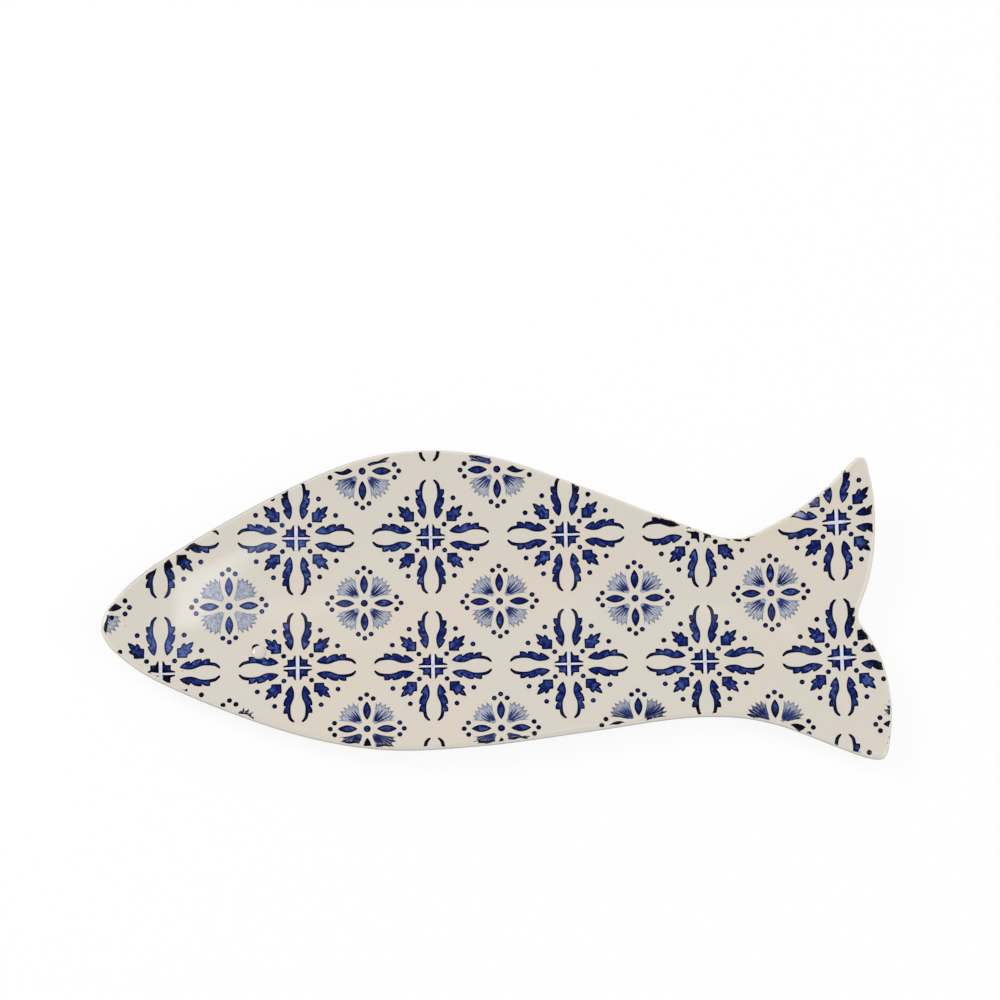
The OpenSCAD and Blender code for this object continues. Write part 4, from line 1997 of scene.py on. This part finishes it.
@dataclass
class EyeBead:
    """The raised bead for the eye, with a small soft foot where it meets the face.

    The foot's two lowest rings carry numbers for a painted shade in the crease where the bead meets the
    face.
    """

    form: PlatterForm
    touch: FaceTouch
    rings: int = 14
    around: int = 64
    sink: float = 0.0002
    side_share: float = 0.997
    # Painted shade in the crease round the bead's foot.
    foot_painted_shade: tuple = (0.25, 0.2)
    # The bead's cream is a little lighter than the face's, a painted light on the raised bead.
    glaze: CreamGlaze = CreamGlaze(name="eye_glaze_lit", cream=srgb(219, 211, 201))

    def build(self) -> None:
        """Builds the bead on the face at the eye's place."""
        form = self.form
        half = form.eye_across / 2
        side = form.eye_high * form.eye_side_share
        cap = form.eye_high - side
        ball = (half**2 + cap**2) / (2 * cap)
        way = circle((0.0, 0.0), 1.0, self.around)
        _, lean = self.touch.press(form.eye_spot()[None])
        base, _ = self.touch.press(form.eye_spot() + way * half)
        middle = base.mean(0)
        rings = [base - lean * self.sink]
        limit = math.asin(half / ball)
        for share in np.linspace(0, 1, self.rings):
            angle = limit * (1 - share)
            reach = ball * math.sin(angle)
            high = side + cap - ball * (1 - math.cos(angle))
            if share == 0:
                reach = half * self.side_share
            lowered = base[:, 2] + (middle[2] - base[:, 2]) * share
            plan = form.eye_spot() + way * reach
            rings.append(np.column_stack([plan, lowered]) + np.array([0, 0, high]))
        bare = [0.0] * (len(rings) - len(self.foot_painted_shade))
        skin = RingSkin(rings, False, {"painted_shade": [*self.foot_painted_shade, *bare]})
        name = "eye_bead_glazed"
        piece = mesh_piece(name, skin.points, skin.faces, [self.glaze.material()], skin.facts)
        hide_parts("eye_bead")
        log.info("%s: %d points, %d faces", name, len(skin.points), len(skin.faces))


@dataclass
class Studio:
    """The pale floor, the soft light and the camera at the photograph's angle.

    Each lamp has a place, a breadth and a height, a power in watts and the lean of its upper end.
    """

    floor_half: float = 6.0
    floor_tone: tuple = srgb(250, 250, 250)
    floor_roughness: float = 0.9
    white: tuple = (1.0, 1.0, 1.0, 1.0)
    floor_glow: float = 0.88
    sky_level: float = 0.638
    horizon_level: float = 0.65
    ceiling_level: float = 0.07
    panel_tone: tuple = (0.94, 0.98, 1.07)
    ceiling_edge: tuple = (0.45, 0.75)
    elevation: float = 72.5
    look_at: tuple = (0.00219, 0.05660, 0.0085)
    distance: float = 3.120
    sight_end: float = 50.0
    sensor: float = 36.0
    picture_pixels: float = 1000.0
    metres_per_pixel: float = 0.00051069
    far_panels: tuple = (
        ((1.42, 3.50, 19.4), (1.76, 5.1), 23.0, 3.0),
        ((1.52, 3.85, 19.4), (1.56, 5.8), 23.5, 3.0),
        ((1.62, 4.15, 19.4), (1.36, 6.4), 22.5, 3.0),
        ((1.74, 4.45, 19.4), (1.12, 7.0), 20.5, 3.0),
        ((-0.67, 6.0, 19.4), (0.28, 3.6), 1.9, 0.0),
        ((-0.67, 5.1, 19.4), (0.24, 1.6), 1.3, 0.0),
    )
    soft_boxes: tuple = (
        ((-1.8, 1.0, 1.6), (1.2, 1.2), 28.0, 0.0),
        ((1.9, -0.5, 1.5), (1.2, 1.2), 15.0, 0.0),
    )

    def build(self) -> None:
        """Builds the floor, the sky, the lamps and the camera."""
        self.build_floor()
        self.build_sky()
        for number, lamp in enumerate(self.soft_boxes):
            self.build_soft_box(f"soft_box_{number}", *lamp)
        for number, lamp in enumerate(self.far_panels):
            self.build_soft_box(f"far_panel_{number}", *lamp).color = self.panel_tone
        self.build_camera()

    def build_floor(self) -> None:
        """Lays the floor, which shows white and keeps the platter's shadow."""
        half = self.floor_half
        mesh = bpy.data.meshes.new("floor")
        corners = [(-half, -half, 0), (half, -half, 0), (half, half, 0), (-half, half, 0)]
        mesh.from_pydata(corners, [], [(0, 1, 2, 3)])
        floor = new_object("floor", mesh)
        bench = Bench("floor_paper")
        bench.coat({"Base Color": self.floor_tone, "Roughness": self.floor_roughness})
        bench.coat({"Specular IOR Level": 0.0})
        glow = bench.add("ShaderNodeEmission", {"Color": self.white, "Strength": 1.0})
        share = bench.times(bench.seen(bench.add("ShaderNodeLightPath")), self.floor_glow)
        paper = bench.shader.outputs[0]
        lit = bench.add("ShaderNodeMixShader", {0: share, 1: paper, 2: glow.outputs[0]})
        clear = bench.add("ShaderNodeBsdfTransparent")
        under = bench.add("ShaderNodeNewGeometry").outputs["Backfacing"]
        both = bench.add("ShaderNodeMixShader", {0: under, 1: lit.outputs[0], 2: clear.outputs[0]})
        out = bench.tree.nodes["Material Output"]
        bench.feed(out.inputs["Surface"], both.outputs[0])
        mesh.materials.append(bench.owner)

    def build_sky(self) -> None:
        """Sets a white sky that lights the platter plainly, under a ceiling that gloss shows dark."""
        bench = Bench("studio_sky", bpy.data.worlds.new("studio_sky"))
        bpy.context.scene.world = bench.owner
        path = bench.add("ShaderNodeLightPath")
        glossy = path.outputs["Is Glossy Ray"]
        ways = bench.add("ShaderNodeTexCoord").outputs["Generated"]
        high = bench.add("ShaderNodeSeparateXYZ", {0: ways}).outputs["Z"]
        levels = (self.horizon_level, self.ceiling_level)
        gloss = bench.times(glossy, bench.ramp(high, *self.ceiling_edge, *levels))
        dull = bench.times(bench.sums("SUBTRACT", 1.0, glossy), self.sky_level)
        strength = bench.sums("MAXIMUM", bench.seen(path), bench.sums("ADD", gloss, dull))
        sky = bench.add("ShaderNodeBackground", {"Color": self.white, "Strength": strength})
        out = bench.add("ShaderNodeOutputWorld")
        bench.feed(out.inputs["Surface"], sky.outputs[0])

    def build_soft_box(
        self, name: str, place: tuple, size: tuple, power: float, lean: float
    ) -> bpy.types.Light:
        """Hangs one soft box that points at the platter.

        Args:
            name: The box's name.
            place: Where it hangs.
            size: Its breadth and its height.
            power: Its power in watts.
            lean: How far its upper end leans over to the nose's side, in degrees.

        Returns:
            The box's lamp.
        """
        lamp = bpy.data.lights.new(name, "AREA")
        lamp.shape = "RECTANGLE"
        lamp.size, lamp.size_y = size
        lamp.energy = power
        box = new_object(lamp.name, lamp)
        back = Vector(place).normalized()
        upper = back.cross(Vector((1, 0, 0))).normalized()
        turn = Matrix((upper.cross(back), upper, back)).transposed()
        leaning = Matrix.Rotation(math.radians(lean), 4, "Z")
        box.matrix_world = Matrix.Translation(place) @ turn.to_4x4() @ leaning
        return lamp

    def build_camera(self) -> None:
        """Sets the camera where the photograph was taken from."""
        turn = math.radians(self.elevation)
        back = Vector((0, -math.cos(turn), math.sin(turn)))
        data = bpy.data.cameras.new("camera")
        data.sensor_width = self.sensor
        data.lens = self.distance / self.metres_per_pixel / self.picture_pixels * self.sensor
        data.clip_end = self.sight_end
        camera = new_object("camera", data)
        camera.location = Vector(self.look_at) + back * self.distance
        camera.rotation_mode = "QUATERNION"
        camera.rotation_quaternion = (-back).to_track_quat("-Z", "Y")
        bpy.context.scene.camera = camera
        bpy.context.scene.view_settings.view_transform = "Standard"


def main() -> None:
    """Builds the platter and the studio in order."""
    logging.basicConfig(level=logging.INFO, format="%(message)s")
    form = PlatterForm()
    relief = FaceRelief(form)
    relief.build()
    dish = Dish(form, relief)
    dish.build()
    touch = FaceTouch(dish.face_skin)
    EyeBead(form, touch).build()
    TilePrint(form, touch).build()
    Studio().build()


if __name__ == "__main__":
    main()
